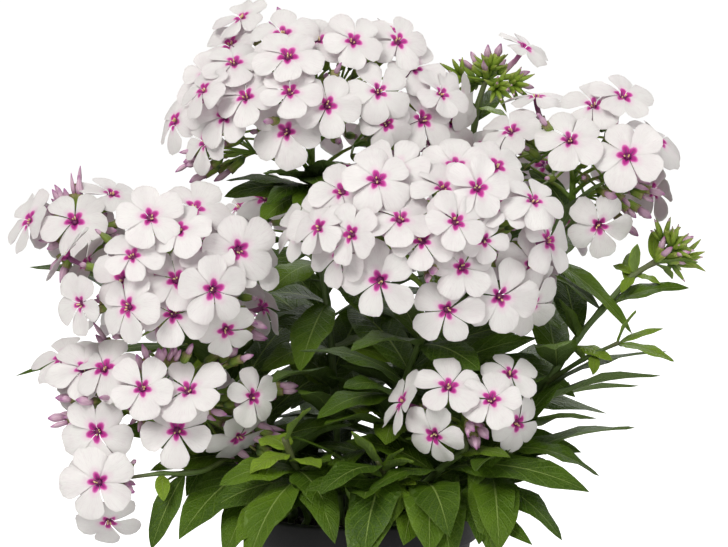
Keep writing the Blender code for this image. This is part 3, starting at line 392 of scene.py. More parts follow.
def leaf_shape(base, tip, half_width, arch, lean, swell=1.0):
    """A lance-shaped blade from its stalk to its point, with a keel under its midrib."""
    reach = np.linalg.norm(tip - base)
    back, _ = square_to(unit(tip - base), lean)
    bend = (base + tip) / 2 + back * arch * reach
    outline = LARGE_LEAF if reach > SMALL_LEAF_LENGTH else SMALL_LEAF
    points = []
    for place, breadth in outline:
        on_rib = base * (1 - place) ** 2 + bend * 2 * place * (1 - place) + tip * place ** 2
        ahead = unit((bend - base) * (1 - place) + (tip - bend) * place)
        top, side = square_to(ahead, lean)
        wide = max(half_width * breadth, NARROWEST_HALF)
        raised = on_rib + top * LEAF_EDGE_RISE * wide
        points += [raised - side * wide, raised + side * wide,
                   on_rib - top * LEAF_THICKNESS * swell]
    last = len(points) - 3
    ends = [(0, 1, 2)] + [(last + corner, last + 3, last + (corner + 1) % 3) for corner in range(3)]
    return np.vstack([points, tip]), ring_faces(len(outline), 3) + ends


def ball_shape(centre, radii):
    """The smaller core of a head: a round body of eight sides."""
    tilt = np.array([1, 2, 3])[:, None] * math.pi / 4
    turn = np.arange(8) * ROUND / 8
    rings = np.stack([np.cos(turn) * np.sin(tilt), np.sin(turn) * np.sin(tilt),
                      np.broadcast_to(-np.cos(tilt), (3, 8))], -1).reshape(-1, 3)
    faces = [(24, (side + 1) % 8, side) for side in range(8)]
    faces += [(25, 16 + side, 16 + (side + 1) % 8) for side in range(8)]
    return np.vstack([rings, -UP, UP]) * radii + centre, ring_faces(3, 8) + faces


def tube_shape(path, radii, sides=6):
    """The closed tube along a path, as shapes are tested against it."""
    steps = np.arange(len(path))
    ahead = unit(path[np.minimum(steps + 1, len(path) - 1)] - path[np.maximum(steps - 1, 0)])
    turns = np.arange(sides)[:, None] * ROUND / sides
    points = []
    for place, point in enumerate(path):
        across, along = square_to(ahead[place], np.array([1.0, 0.0, 0.0]))
        points.append(point + (np.cos(turns) * across + np.sin(turns) * along) * radii[place])
    last = (len(path) - 1) * sides
    ends = [(0, side + 1, side) for side in range(1, sides - 1)]
    ends += [(last, last + side, last + side + 1) for side in range(1, sides - 1)]
    return np.vstack(points), ring_faces(len(path), sides) + ends


def ring_shape(inner, outer, low, high, sides=24):
    """A closed band round the upright axis, for the pot's rim and the soil's surface."""
    turns = np.arange(sides)[:, None] * ROUND / sides
    way = np.hstack([np.cos(turns), np.sin(turns), 0 * turns])
    points = np.stack([way * inner + UP * low, way * outer + UP * low,
                       way * outer + UP * high, way * inner + UP * high], 1).reshape(-1, 3)
    closed = np.vstack([points, points[:4]])
    return closed, ring_faces(sides + 1, 4)


# %% The layout keeper
class Layout:
    """What stands where: pieces are added to a node only where they are clear of the others."""

    def __init__(self):
        self.pieces = []

    def tree(self, shape):
        points = np.array(shape[0])
        tree = BVHTree.FromPolygons(points.tolist(), shape[1])
        return points.min(axis=0), points.max(axis=0), tree

    def clear(self, node, shape, loose=None):
        """Whether a shape cuts no piece of another node, apart from pieces of a loose kind."""
        low, high, tree = self.tree(shape)
        return not any(tree.overlap(piece[4]) for piece in self.pieces
                       if piece[0] != node and piece[1] != loose
                       and not ((low > piece[3]).any() or (high < piece[2]).any()))

    def crossings(self, node, kind, shape):
        """How many faces of this kind a shape would cut through: the node's own, or anyone's."""
        low, high, tree = self.tree(shape)
        return sum(len(tree.overlap(piece[4])) for piece in self.pieces
                   if piece[1] == kind and node in (None, piece[0])
                   and not ((low > piece[3]).any() or (high < piece[2]).any()))

    def add(self, node, kind, shape):
        self.pieces.append((node, kind, *self.tree(shape)))


# %% Lines that stems follow
CORE_LEAST = 0.45
FOOT_STOPS = (4, 10)
UNDER_HEAD = (8, 3)
STEM_TOP_SHARE = 0.68
PATH_STEPS = 5


def head_domes(head):
    """The middles and radii of a head's domes."""
    return [(seen(*middle), np.array(radii, float)) for middle, radii in head["domes"]]


def core_radii(radii):
    return np.maximum(radii - CORE_SHRINK, radii * CORE_LEAST)


def smooth_path(stops, count):
    """Points along one smooth curve through the stops, spaced by the stops' own distances."""
    stops = np.array(stops)
    ends = np.vstack([2 * stops[0] - stops[1], stops, 2 * stops[-1] - stops[-2]])
    places = np.linspace(0, len(stops) - 1 - 1e-9, count)
    first = places.astype(int)
    t = (places - first)[:, None]
    a, b, c, d = (ends[first + shift] for shift in range(4))
    return 0.5 * (2 * b + (c - a) * t + (2 * a - 5 * b + 4 * c - d) * t ** 2
                  + (3 * b - a - 3 * c + d) * t ** 3)


def stem_path(stem):
    """A stem's middle line: straight in its hole, then one curve up to what it carries."""
    foot = np.array([*stem["foot"], SOIL_TOP])
    stops = [foot + UP * rise for rise in FOOT_STOPS] + [seen(*place) for place in stem["via"]]
    if stem["head"]:
        middle, radii = head_domes(HEADS[stem["head"]])[-1]
        under = middle - UP * (core_radii(radii)[2] + GAP)
        stops.append(under - UP * UNDER_HEAD[0])
    else:
        stops.append(seen(*stem["end"]))
    path = smooth_path(stops, 2 * len(stops) - 1)
    top = [under - UP * UNDER_HEAD[1], under] if stem["head"] else []
    return np.vstack([[foot - UP * (STEM_DEPTH - GAP), foot + UP], path, *top])


def stem_radii(path):
    return STEM_RADIUS * np.linspace(1.0, STEM_TOP_SHARE, len(path))


def finer(path):
    """A path with points in between."""
    return np.vstack([a + (b - a) * t for a, b in zip(path[:-1], path[1:])
                      for t in np.linspace(0, 1, PATH_STEPS + 1)[:-1, None]])


def nearest(path, point):
    fine = finer(path)
    return fine[np.argmin(np.linalg.norm(fine - point, axis=1))]


def point_at_row(path, row):
    """The point of a stem that shows at this row."""
    fine = finer(path[2:])
    reach = -EYE[1] / (fine[:, 1] - EYE[1])
    heights = EYE[2] + (fine[:, 2] - EYE[2]) * reach
    rows = FOOT_ROW - (heights - FOOT_HEIGHT) / STEP
    return fine[np.argmin(np.abs(rows - row))]


# %% [markdown]
# ## Flowers on their domes
# The flowers of a border phlox open side by side over a rounded head, each at the end of its own
# slender tube. A flower that shows in front sits where its sight line meets the dome, and faces
# outwards and a little to the light. Round the back, a turn by the golden angle spreads them
# evenly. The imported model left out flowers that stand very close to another, to save faces.
# A second pass adds them here, wherever they are clear of the other heads.

# %% Where flowers open
ROOT_SHARE = 0.72
FLOWER_SIZES = (0.94, 1.06)
FACE_FRONT = 0.5
FACE_UP = 0.2
RULE_FACE_UP = 0.45
HIGHEST = 0.95
HEIGHT_SPAN = 1.35
HEIGHT_STEP = 0.618
FORWARD_LIMIT = -0.05
MOST_TRIED = 160


def dome_place(column, row, domes):
    """Where the sight line meets the nearest dome: the point, the way out there, and the dome."""
    best = None
    for middle, radii in domes:
        start = (EYE - middle) / radii
        line = (seen(column, row, 0.0) - EYE) / radii
        a, b, c = line @ line, start @ line, start @ start - 1
        touch = start + line * (-b - math.sqrt(max(b * b - a * c, 0.0))) / a
        miss = np.linalg.norm(touch)
        if best is None or miss < best[0]:
            best = (miss, middle + touch * radii, unit(touch / radii), middle, radii)
    return best[1:]


def flower_from(place, draws):
    """A flower's centre, face, roll and the root of its tube, with its own draws."""
    point, face, middle, radii = place[:4]
    core = core_radii(radii)
    inside = middle + unit((point - middle) / core) * core * ROOT_SHARE
    return dict(centre=point, face=unit(unit(face) + draws.normal(0, 0.05, 3)),
                out=unit(point - middle), roll=draws.uniform(0, math.tau), root=inside,
                radius=FLOWER_RADIUS * draws.uniform(*FLOWER_SIZES), spot=place[4])


def seen_place(spot, domes):
    """The place of a flower that shows: it faces out of its dome, to the front and up a little."""
    point, out, middle, radii = dome_place(*spot, domes)
    return point, out + FACE_FRONT * TO_FRONT + FACE_UP * UP, middle, radii, spot


def flower_places(head):
    """Where a head's flowers open: those that show in front, then the rule's round the back."""
    domes = head_domes(head)
    draws = np.random.default_rng(7 + len(head["flowers"]) * 31 + head["behind"])
    places = []
    for spot in head["flowers"]:
        place = seen_place(spot, domes)
        if all(np.linalg.norm(place[0] - other[0]) > CLOSEST_FLOWERS for other in places):
            places.append(place)
    wanted, tried = head["behind"], 0
    while wanted and tried < MOST_TRIED:
        middle, radii = domes[tried % len(domes)]
        height = HIGHEST - HEIGHT_SPAN * ((tried * HEIGHT_STEP) % 1.0)
        around = math.sqrt(1 - height * height)
        turn = GOLDEN_TURN * tried
        way = np.array([math.cos(turn) * around, math.sin(turn) * around, height])
        point = middle + way * radii
        tried += 1
        if head["flowers"] and way[1] < FORWARD_LIMIT:
            continue
        if all(np.linalg.norm(point - other[0]) > RULE_FLOWERS for other in places):
            places.append((point, unit(way / radii) + RULE_FACE_UP * UP, middle, radii, None))
            wanted -= 1
    return [flower_from(place, draws) for place in places]


# %% Ways to stand
# How far a flower is lifted out in mm, how far it tips to its side and back, and its size.
TIPS = ((0, 0), (0.25, 0), (-0.25, 0), (0, 0.25), (0, -0.25))
FLOWER_TRIES = [(lift, side, back, 1.0) for lift in (0, 3, -3, 5) for side, back in TIPS]
FLOWER_TRIES += [(0, 0, 0.3, 0.85), (0, 0, -0.3, 0.85), (0, 0, 0, 0.7)]
FLOWER_MARGIN = 0.5
FLOWER_SWELL = 1.6
BUD_STAND = 1.25
BUD_ROOT_SHARE = 0.8
BUD_BELLIES = (1.7, 2.3)
BUD_MARGIN = 0.4
CLUSTER_ROOT = 0.25
CLUSTER_BELLY = 1.8


def stand_flower(layout, name, flower, tries):
    """The way for a flower to stand that is clear of other nodes and cuts least of its own."""
    across, along = square_to(flower["face"], UP)
    best = None
    for lift, side, back, size in tries:
        trial = dict(flower)
        trial["centre"] = flower["centre"] + flower["out"] * lift
        trial["radius"] = flower["radius"] * size
        trial["face"] = unit(flower["face"] + side * across + back * along)
        shape = flower_shape(trial["centre"], trial["face"], trial["roll"], trial["root"],
                             trial["radius"] + FLOWER_MARGIN, FLOWER_SWELL)
        if not layout.clear(name, shape):
            continue
        cuts = layout.crossings(name, "flower", shape)
        if best is None or cuts < best[0]:
            best = (cuts, trial, shape)
        if cuts == 0:
            break
    if best:
        layout.add(name, "flower", best[2])
    return best[1] if best else None


def place_flowers(layout, name):
    flowers = [stand_flower(layout, name, flower, FLOWER_TRIES)
               for flower in flower_places(HEADS[name])]
    return [flower for flower in flowers if flower]


def place_buds(layout, name):
    """Closed buds that stand out of a head between its flowers."""
    kept = []
    domes = head_domes(HEADS[name])
    draws = np.random.default_rng(3)
    for column, row in HEADS[name]["buds"]:
        middle, radii = min(domes, key=lambda dome: np.linalg.norm(
            seen(column, row, dome[0][1]) - dome[0]))
        flat = seen(column, row, middle[1]) - middle
        out = np.linalg.norm(flat / radii)
        depth = -math.sqrt(max(BUD_STAND - out * out, 0.0)) * radii[1]
        tip = seen(column, row, middle[1] + depth)
        core = core_radii(radii)
        root = middle + unit((tip - middle) / core) * core * BUD_ROOT_SHARE
        belly = draws.uniform(*BUD_BELLIES)
        shape = bud_shape(root, tip, belly + BUD_MARGIN)
        if layout.clear(name, shape):
            layout.add(name, "bud", shape)
            kept.append(dict(root=root, tip=tip, belly=belly))
    return kept


def place_cluster(layout, name, cluster, path):
    """The buds of a cluster with no open flower, rooted in the stem's end."""
    middle = path[-1] + (path[-2] - path[-1]) * CLUSTER_ROOT
    kept = []
    for column, row, behind in cluster["tips"]:
        tip = seen(column, row, cluster["middle"][2] + behind)
        shape = bud_shape(middle, tip, CLUSTER_BELLY)
        if layout.clear(name, shape):
            layout.add(name, "bud", shape)
            kept.append(dict(root=middle, tip=tip, belly=CLUSTER_BELLY))
    return kept


# %% [markdown]
# ## Leaves in pairs
# Phlox leaves sit in opposite pairs, and each pair is a quarter turn from the last one. The
# leaves that show were read from the front. The rest follow the rule, and each one may turn,
# rise or shrink a little to lie clear of its neighbours.

# %% Where leaves lie
# How far a leaf turns about its stem, how far it rises, and its size.
SEEN_TRIES = [(0, 0, 1), (0, 0.1, 1), (0, -0.1, 1), (0.15, 0, 1), (-0.15, 0, 1), (0.3, 0.1, 0.95),
              (-0.3, 0.1, 0.95), (0.2, -0.15, 0.9), (-0.2, -0.15, 0.9), (0, 0, 0.8), (0.4, 0, 0.75),
              (-0.4, 0, 0.75), (0, 0.2, 0.65)]
RULE_TRIES = [(0, 0, 1), (0.35, 0, 1), (-0.35, 0, 1), (0, 0.2, 0.9), (0, -0.2, 0.9),
              (0.6, 0.1, 0.8), (-0.6, 0.1, 0.8), (0.3, -0.2, 0.7), (-0.3, -0.2, 0.7),
              (0, 0.3, 0.6), (0.8, 0, 0.6), (-0.8, 0, 0.6)]
LEAN_OUT = 0.12
LEAN_FRONT = 0.25
LEAF_MARGIN = 0.4
LEAF_SWELL = 1.7
LEAF_ARCH = 0.16
TAKEN_WITHIN = 9.0
TAKEN_TURN = 0.55


def leaf_lean(base, tip):
    """Which way a leaf's upper face looks: up, and a little outwards."""
    out = np.array([tip[0] - base[0], tip[1] - base[1], 0.0])
    return unit(UP - LEAN_OUT * unit(out + 1e-6) + LEAN_FRONT * TO_FRONT)


def try_leaf(layout, name, base, tip, half_width, arch, tries, loose=False):
    """Of a leaf's ways to lie, the one that is clear of other nodes and cuts least of its own.

    A loose one may touch the leaves of any stem, as in a real tuft, and takes the way that cuts
    the fewest.
    """
    away = tip - base
    base = base + unit(away) * STALK_START
    best = None
    for turn, rise, size in tries:
        turned = np.array([away[0] * math.cos(turn) - away[1] * math.sin(turn),
                           away[0] * math.sin(turn) + away[1] * math.cos(turn),
                           away[2] + rise * np.linalg.norm(away)])
        trial = base + turned * size
        lean = leaf_lean(base, trial)
        shape = leaf_shape(base, trial, half_width * size + LEAF_MARGIN, arch, lean, LEAF_SWELL)
        if not layout.clear(name, shape, "leaf" if loose else None):
            continue
        cuts = layout.crossings(None if loose else name, "leaf", shape)
        if best is None or cuts < best[0]:
            leaf = dict(base=base, tip=trial, half=half_width * size, arch=arch, lean=lean)
            best = (cuts, leaf, shape)
        if cuts == 0:
            break
    if best:
        layout.add(name, "leaf", best[2])
    return best[1] if best else None


def on_stem(path, table):
    """The rows of a table of leaves, each with a point of the stem in place of its row."""
    return [(point_at_row(path, row), *rest) for row, *rest in table]


def place_table(layout, name, rows, loose=False):
    """The leaves of a table: each row has a base, a tip, a breadth and an arch."""
    tried = [try_leaf(layout, name, base, seen(*tip), breadth / 2, arch, SEEN_TRIES, loose)
             for base, tip, breadth, arch in rows]
    return [leaf for leaf in tried if leaf]


def place_seen_leaves(layout, name, path, branches):
    """The leaves that show from the front, each on its stem or branch."""
    rows = on_stem(path, LEAVES.get(name, []))
    for start, *rest in BRANCH_LEAVES.get(name, []):
        start = seen(*start)
        bases = [nearest(branch, start) for branch in branches]
        rows.append((min(bases, key=lambda place: np.linalg.norm(place - start)), *rest))
    return place_table(layout, name, rows)


def lengths_along(path):
    """How far each point of a stem's line above the soil is from the first one."""
    steps = np.linalg.norm(np.diff(path[2:], axis=0), axis=1)
    return np.concatenate([[0], np.cumsum(steps)])


def place_rule_leaves(layout, name, path, taken, places, size=1.0, seed=0, loose=False):
    """Opposite pairs at these distances up the stem, each pair a quarter turn from the last."""
    kept = []
    draws = np.random.default_rng(sum(map(ord, name)) + seed)
    along = lengths_along(path)
    first_turn = draws.uniform(0, math.tau)
    for pair, place in enumerate(places):
        spot = np.array([np.interp(place, along, path[2:, axis]) for axis in range(3)])
        share = place / along[-1]
        reach = size * LEAF_LENGTH * (0.8 + 0.35 * math.sin(math.pi * min(share * 1.1, 1.0)))
        reach *= (1.0 - 0.35 * max(share - 0.6, 0) / 0.4) * draws.uniform(0.88, 1.1)
        for half_turn in (0, math.pi):
            turn = first_turn + pair * math.pi / 2 + half_turn + draws.normal(0, 0.15)
            rise = 0.18 + 0.45 * share + draws.normal(0, 0.08)
            way = unit(np.array([math.cos(turn), math.sin(turn), rise]))
            if any(np.linalg.norm(leaf["base"] - spot) < TAKEN_WITHIN
                   and unit(leaf["tip"] - leaf["base"]) @ way > TAKEN_TURN for leaf in taken):
                continue
            kept.append(try_leaf(layout, name, spot, spot + way * reach, reach * LEAF_SPREAD,
                                 LEAF_ARCH, RULE_TRIES, loose))
    return [leaf for leaf in kept if leaf]


def place_fill_leaves(layout, name, path, taken):
    """Leaves between those of the solids: from a table, in each gap up the stem, and a collar."""
    kept = place_table(layout, name, on_stem(path, FILL_LEAVES.get(name, [])), True)
    total = lengths_along(path)[-1]
    for number, share in enumerate(BETWEEN_NODES):
        top = total * (1.0 if number == 0 else THICKET) - 4
        between = np.arange(FIRST_NODE + NODE_SPACING * share, top, NODE_SPACING)
        kept += place_rule_leaves(layout, name, path, taken + kept, between, FILL_SIZE,
                                  50 + number, True)
    if STEMS[name]["head"]:
        for number, drop in enumerate(COLLAR_DROPS):
            kept += place_rule_leaves(layout, name, path, taken + kept, [total - drop],
                                      COLLAR_SIZE, 90 + number, True)
    return kept


# %% [markdown]
# ## What only the finer pieces have
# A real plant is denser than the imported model, which had to save faces. These leaves stand low in
# the plant, in the gaps between the pairs and as a small collar under each head. They may touch
# each other, as leaves in a tuft do. A few flowers close to another one come back as well.

# %% Lay the plant out
# Leaves that only the finer pieces have, in the form of the table of leaves that show.
FILL_LEAVES = {
    "shoot_front_left": [(478, (262, 566, -88), 21, 0.26), (486, (214, 530, -60), 18, 0.18),
                         (462, (300, 474, -76), 15, 0.16), (470, (232, 502, -72), 17, 0.18),
                         (480, (296, 572, -92), 19, 0.28), (450, (262, 440, -40), 15, 0.16)],
    "shoot_front": [(486, (332, 572, -92), 21, 0.28), (484, (396, 572, -94), 22, 0.28),
                    (474, (430, 474, -80), 13, 0.16), (478, (364, 574, -88), 20, 0.3),
                    (470, (342, 512, -90), 17, 0.2)],
    "stem_front": [(484, (430, 574, -90), 21, 0.28), (486, (470, 566, -86), 20, 0.26),
                   (474, (352, 500, -84), 18, 0.18), (490, (404, 560, -98), 20, 0.24)],
    "shoot_front_right": [(476, (500, 568, -84), 19, 0.24), (480, (556, 536, -76), 18, 0.18),
                          (460, (452, 456, -84), 14, 0.14), (474, (462, 576, -80), 19, 0.3),
                          (450, (606, 470, -62), 18, 0.16), (430, (470, 520, -70), 17, 0.2)],
    "stem_left": [(470, (200, 506, -50), 18, 0.18), (478, (244, 552, -66), 21, 0.24),
                  (440, (216, 480, 6), 18, 0.16), (420, (300, 470, 10), 17, 0.16),
                  (462, (150, 462, -24), 16, 0.14), (452, (176, 452, -8), 16, 0.14),
                  (470, (132, 498, -34), 16, 0.2), (458, (226, 446, -44), 14, 0.12)],
    "stem_far_left": [(440, (170, 486, 10), 17, 0.18), (420, (160, 512, -6), 17, 0.2),
                      (390, (262, 330, 10), 17, 0.16), (360, (200, 452, 20), 16, 0.16)],
    "stem_right": [(420, (600, 440, -30), 17, 0.16), (440, (560, 470, -34), 18, 0.16),
                   (400, (420, 442, -10), 18, 0.16), (340, (438, 300, 0), 16, 0.14)],
    "stem_top": [(170, (300, 212, -44), 15, 0.14), (160, (268, 186, -46), 17, 0.14),
                 (168, (340, 176, -40), 13, 0.12), (320, (250, 330, 4), 18, 0.16),
                 (380, (286, 350, 12), 18, 0.16), (400, (380, 420, 6), 18, 0.16),
                 (300, (236, 300, 14), 17, 0.16), (420, (268, 440, 10), 18, 0.16),
                 (340, (400, 352, 4), 17, 0.16), (240, (330, 300, -26), 16, 0.18),
                 (192, (218, 180, -24), 16, 0.16), (192, (226, 208, -8), 15, 0.16),
                 (186, (280, 216, -44), 15, 0.18), (196, (322, 200, -52), 14, 0.14),
                 (188, (362, 166, -24), 14, 0.16), (184, (388, 192, -10), 13, 0.16)],
    "stem_middle": [(420, (350, 452, -50), 18, 0.18), (380, (300, 352, -36), 18, 0.18),
                    (400, (372, 402, -66), 15, 0.16), (440, (452, 470, -56), 16, 0.18)],
}
# Where pairs are added between two nodes, as shares of their spacing. All but the first sort stop
# at the thicket's height, a share of the stem.
BETWEEN_NODES = (0.5, 0.25, 0.75)
THICKET = 0.6
FILL_SIZE = 0.95
# The leaves of the collar under a head: how far below the stem's end, in mm, and their size.
COLLAR_DROPS = (17.0, 13.5, 10.0, 6.5, 3.0)
COLLAR_SIZE = 0.6
# Flowers close to another one, which only the finer pieces have: their head and places.
CLOSE_FLOWERS = {
    "head_top": [(393, 46), (428, 96), (292, 93)],
    "head_middle": [(331, 229)],
}
CLOSE_TRIES = [(lift, side, back, 0.97) for lift in (0, 3, -3, 6, -6) for side, back in TIPS]
NEAREST_FLOWERS = 7.0
ROD_MARGIN = 0.4
BRANCH_SHARE = 0.7
RIM_MARGIN = 0.8


def place_stems(layout, plan):
    """The lines of all stems and branches, kept clear as rods."""
    for name, stem in STEMS.items():
        path = stem_path(stem)
        plan["paths"][name] = path
        layout.add(name, "rod", tube_shape(path, stem_radii(path) + ROD_MARGIN))
        plan["branches"][name] = []
        for stops in BRANCHES.get(name, []):
            places = [seen(*stop) for stop in stops]
            places[0] = nearest(path[2:], places[0])
            branch = smooth_path(places, 2 * len(places) - 1)
            plan["branches"][name].append(branch)
            thick = np.full(len(branch), STEM_RADIUS * BRANCH_SHARE + ROD_MARGIN)
            layout.add(name, "rod", tube_shape(branch, thick))


def place_close_flowers(layout, name, kept):
    """The seen flowers that the first pass skipped, clear of other heads."""
    domes = head_domes(HEADS[name])
    draws = np.random.default_rng(len(name))
    opened = [flower["spot"] for flower in kept]
    spots = [spot for spot in HEADS[name]["flowers"] if spot not in opened]
    added = []
    for spot in spots + CLOSE_FLOWERS.get(name, []):
        place = seen_place(spot, domes)
        if any(np.linalg.norm(place[0] - other["centre"]) < NEAREST_FLOWERS
               for other in kept + added):
            continue
        flower = stand_flower(layout, name, flower_from(place, draws), CLOSE_TRIES)
        added += [flower] if flower else []
    return added


def lay_out():
    """Places every piece of the plant: stems and cores first, then flowers, buds and leaves."""
    layout = Layout()
    plan = dict(paths={}, branches={}, flowers={}, buds={}, leaves={}, clusters={})
    layout.add("pot", "rim", ring_shape(POT_RIM_RADIUS - 7, POT_RIM_RADIUS + RIM_MARGIN,
                                        SOIL_TOP - 5, POT_HEIGHT + RIM_MARGIN))
    layout.add("soil", "top", ring_shape(0.1, POT_RIM_RADIUS - 6, SOIL_TOP - 6,
                                         SOIL_TOP + RIM_MARGIN))
    place_stems(layout, plan)
    for name, head in HEADS.items():
        for middle, radii in head_domes(head):
            layout.add(name, "core", ball_shape(middle, core_radii(radii)))
    for name, cluster in CLUSTERS.items():
        plan["clusters"][name] = place_cluster(layout, name, cluster, plan["paths"][name])
    for name in HEADS:
        plan["flowers"][name] = place_flowers(layout, name)
        plan["buds"][name] = place_buds(layout, name)
    for name, path in plan["paths"].items():
        plan["leaves"][name] = place_seen_leaves(layout, name, path, plan["branches"][name])
    for name, path in plan["paths"].items():
        nodes = np.arange(FIRST_NODE, lengths_along(path)[-1] - FIRST_NODE, NODE_SPACING)
        plan["leaves"][name] += place_rule_leaves(layout, name, path, plan["leaves"][name], nodes)
    for name in HEADS:
        plan["flowers"][name] += place_close_flowers(layout, name, plan["flowers"][name])
    for name, path in plan["paths"].items():
        plan["leaves"][name] += place_fill_leaves(layout, name, path, plan["leaves"][name])
    return plan


NOD = 0.12
NODDING_SIZES = (0.86, 1.02)


def let_nod(flowers, seed):
    """Tips each flower a little to one side, and takes up to a seventh off its size."""
    draws = np.random.default_rng(seed)
    for flower in flowers:
        flower["face"] = unit(flower["face"] + draws.normal(0, NOD, 3))
        flower["radius"] = flower["radius"] * draws.uniform(*NODDING_SIZES)


plan = lay_out()
for number, flowers in enumerate(plan["flowers"].values()):
    let_nod(flowers, 40 + number)
for name in HEADS:
    print(name, len(plan["flowers"][name]), "flowers", len(plan["buds"][name]), "buds")
print({name: len(leaves) for name, leaves in plan["leaves"].items()})

# %% [markdown]
# ## Arrays into meshes
# Everything below is one of two kinds of surface. A shell is a thin sheet with two faces that
# share their rim, such as a petal or a leaf. A loft is a row of rings carried along a path and
# closed by a point at each end, such as a stem, a bud or a crumb. Both are worked out for many
# copies at once, so a head's petals are one array and one mesh.

# %% Mesh helpers
def make_piece(name, points, quads, triangles, material, slot_name, replaced=(), uv=None,
               values=None, rim=None):
    """Puts arrays in millimetres into one smooth mesh that rides on the plant's body.

    rim marks the points along the edge of a sheet: the edges between them stay sharp, so that the
    light doesn't roll over the edge of something as thin as a petal.
    """
    corners = np.concatenate([quads.reshape(-1), triangles.reshape(-1)]).astype(np.int32)
    sizes = np.concatenate([np.full(len(quads), 4), np.full(len(triangles), 3)])
    mesh = bpy.data.meshes.new(name)
    mesh.vertices.add(len(points))
    mesh.vertices.foreach_set("co", (points * MM).astype(np.float32).reshape(-1))
    mesh.loops.add(len(corners))
    mesh.loops.foreach_set("vertex_index", corners)
    mesh.polygons.add(len(sizes))
    mesh.polygons.foreach_set("loop_start", (np.cumsum(sizes) - sizes).astype(np.int32))
    mesh.polygons.foreach_set("use_smooth", np.ones(len(sizes), bool))
    if uv is not None:
        layer = mesh.uv_layers.new(name="UVMap")
        layer.data.foreach_set("uv", uv[corners].astype(np.float32).reshape(-1))
    for title, value in (values or {}).items():
        attribute = mesh.attributes.new(title, "FLOAT", "POINT")
        attribute.data.foreach_set("value", value.astype(np.float32).reshape(-1))
    mesh.update(calc_edges=True)
    if rim is not None:
        ends = np.empty(len(mesh.edges) * 2, np.int32)
        mesh.edges.foreach_get("vertices", ends)
        sharp = mesh.attributes.new("sharp_edge", "BOOLEAN", "EDGE")
        sharp.data.foreach_set("value", rim[ends.reshape(-1, 2)].all(axis=1))
    mesh.materials.append(material)
    piece = bpy.data.objects.new(name, mesh)
    bpy.context.scene.collection.objects.link(piece)
    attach(piece, "root")
    if replaced:
        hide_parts(*replaced)
    return piece


def add_loft(name, part, material, slot_name, tint, replaced=()):
    """A piece made of lofts, with one tint for each point or for all of them."""
    tint = np.broadcast_to(tint, len(part[0]))
    make_piece(name, *part[:3], material, slot_name, replaced, part[3], dict(tint=tint))


def columns(items, *keys):
    """The values of all items under each of these keys, an array for each key."""
    return [np.array([item[key] for item in items]) for key in keys]


def for_each(faces, count, points_each):
    """The faces of one shape repeated for each of its copies."""
    shift = np.arange(count)[:, None, None] * points_each
    return (faces[None] + shift).reshape(-1, faces.shape[1])


def shell_faces(rows, columns):
    """Quads of a thin sheet: an upper and a lower grid that share their rim."""
    upper = np.arange(rows * columns).reshape(rows, columns)
    lower = upper.copy()
    inner = (rows - 2) * (columns - 2)
    lower[1:-1, 1:-1] = rows * columns + np.arange(inner).reshape(rows - 2, columns - 2)

    def quads(grid):
        corners = [grid[:-1, :-1], grid[1:, :-1], grid[1:, 1:], grid[:-1, 1:]]
        return np.stack(corners, -1).reshape(-1, 4)

    return np.vstack([quads(upper), quads(lower)[:, ::-1]])


def shell_rim(rows, columns):
    """Which points of one shell lie on its rim."""
    grid = np.ones((rows, columns), bool)
    grid[1:-1, 1:-1] = False
    return np.append(grid.reshape(-1), np.zeros((rows - 2) * (columns - 2), bool))


def shell_points(upper, lower):
    """One list of points for each copy: its upper grid, then the inside of its lower grid."""
    count = len(upper)
    inside = lower[:, 1:-1, 1:-1]
    return np.concatenate([upper.reshape(count, -1, upper.shape[-1]),
                           inside.reshape(count, -1, upper.shape[-1])], axis=1)


def add_sheets(name, upper, lower, uv, values, material, slot_name, replaced=()):
    """A piece made of sheets from their upper and lower grids, each (copies, rows, columns, 3).

    uv is the place across and along each sheet, and values holds one number for each sheet.
    """
    shape = upper.shape[:3]
    points = shell_points(upper, lower)
    each = points.shape[1]
    uv = np.stack([np.broadcast_to(side, shape) for side in uv], -1)
    under = shell_points(np.zeros((*shape, 1)), np.ones((*shape, 1)))
    quads = for_each(shell_faces(*shape[1:]), shape[0], each)
    values = {title: np.repeat(value, each) for title, value in values.items()}
    make_piece(name, points.reshape(-1, 3), quads, np.zeros((0, 3), int), material, slot_name,
               replaced, shell_points(uv, uv).reshape(-1, 2), dict(underside=under, **values),
               np.tile(shell_rim(*shape[1:]), shape[0]))
    print(name, shape[0], "sheets,", len(quads), "quads")


def tube_faces(rings, sides):
    """Quads between rings that follow each other, and triangles from two end points."""
    grid = np.arange(rings * sides).reshape(rings, sides)
    after = np.roll(grid, -1, axis=1)
    quads = np.stack([grid[:-1], after[:-1], after[1:], grid[1:]], -1).reshape(-1, 4)
    start, end = rings * sides, rings * sides + 1
    ends = np.vstack([np.stack([np.full(sides, start), after[0], grid[0]], 1),
                      np.stack([np.full(sides, end), grid[-1], after[-1]], 1)])
    return quads, ends


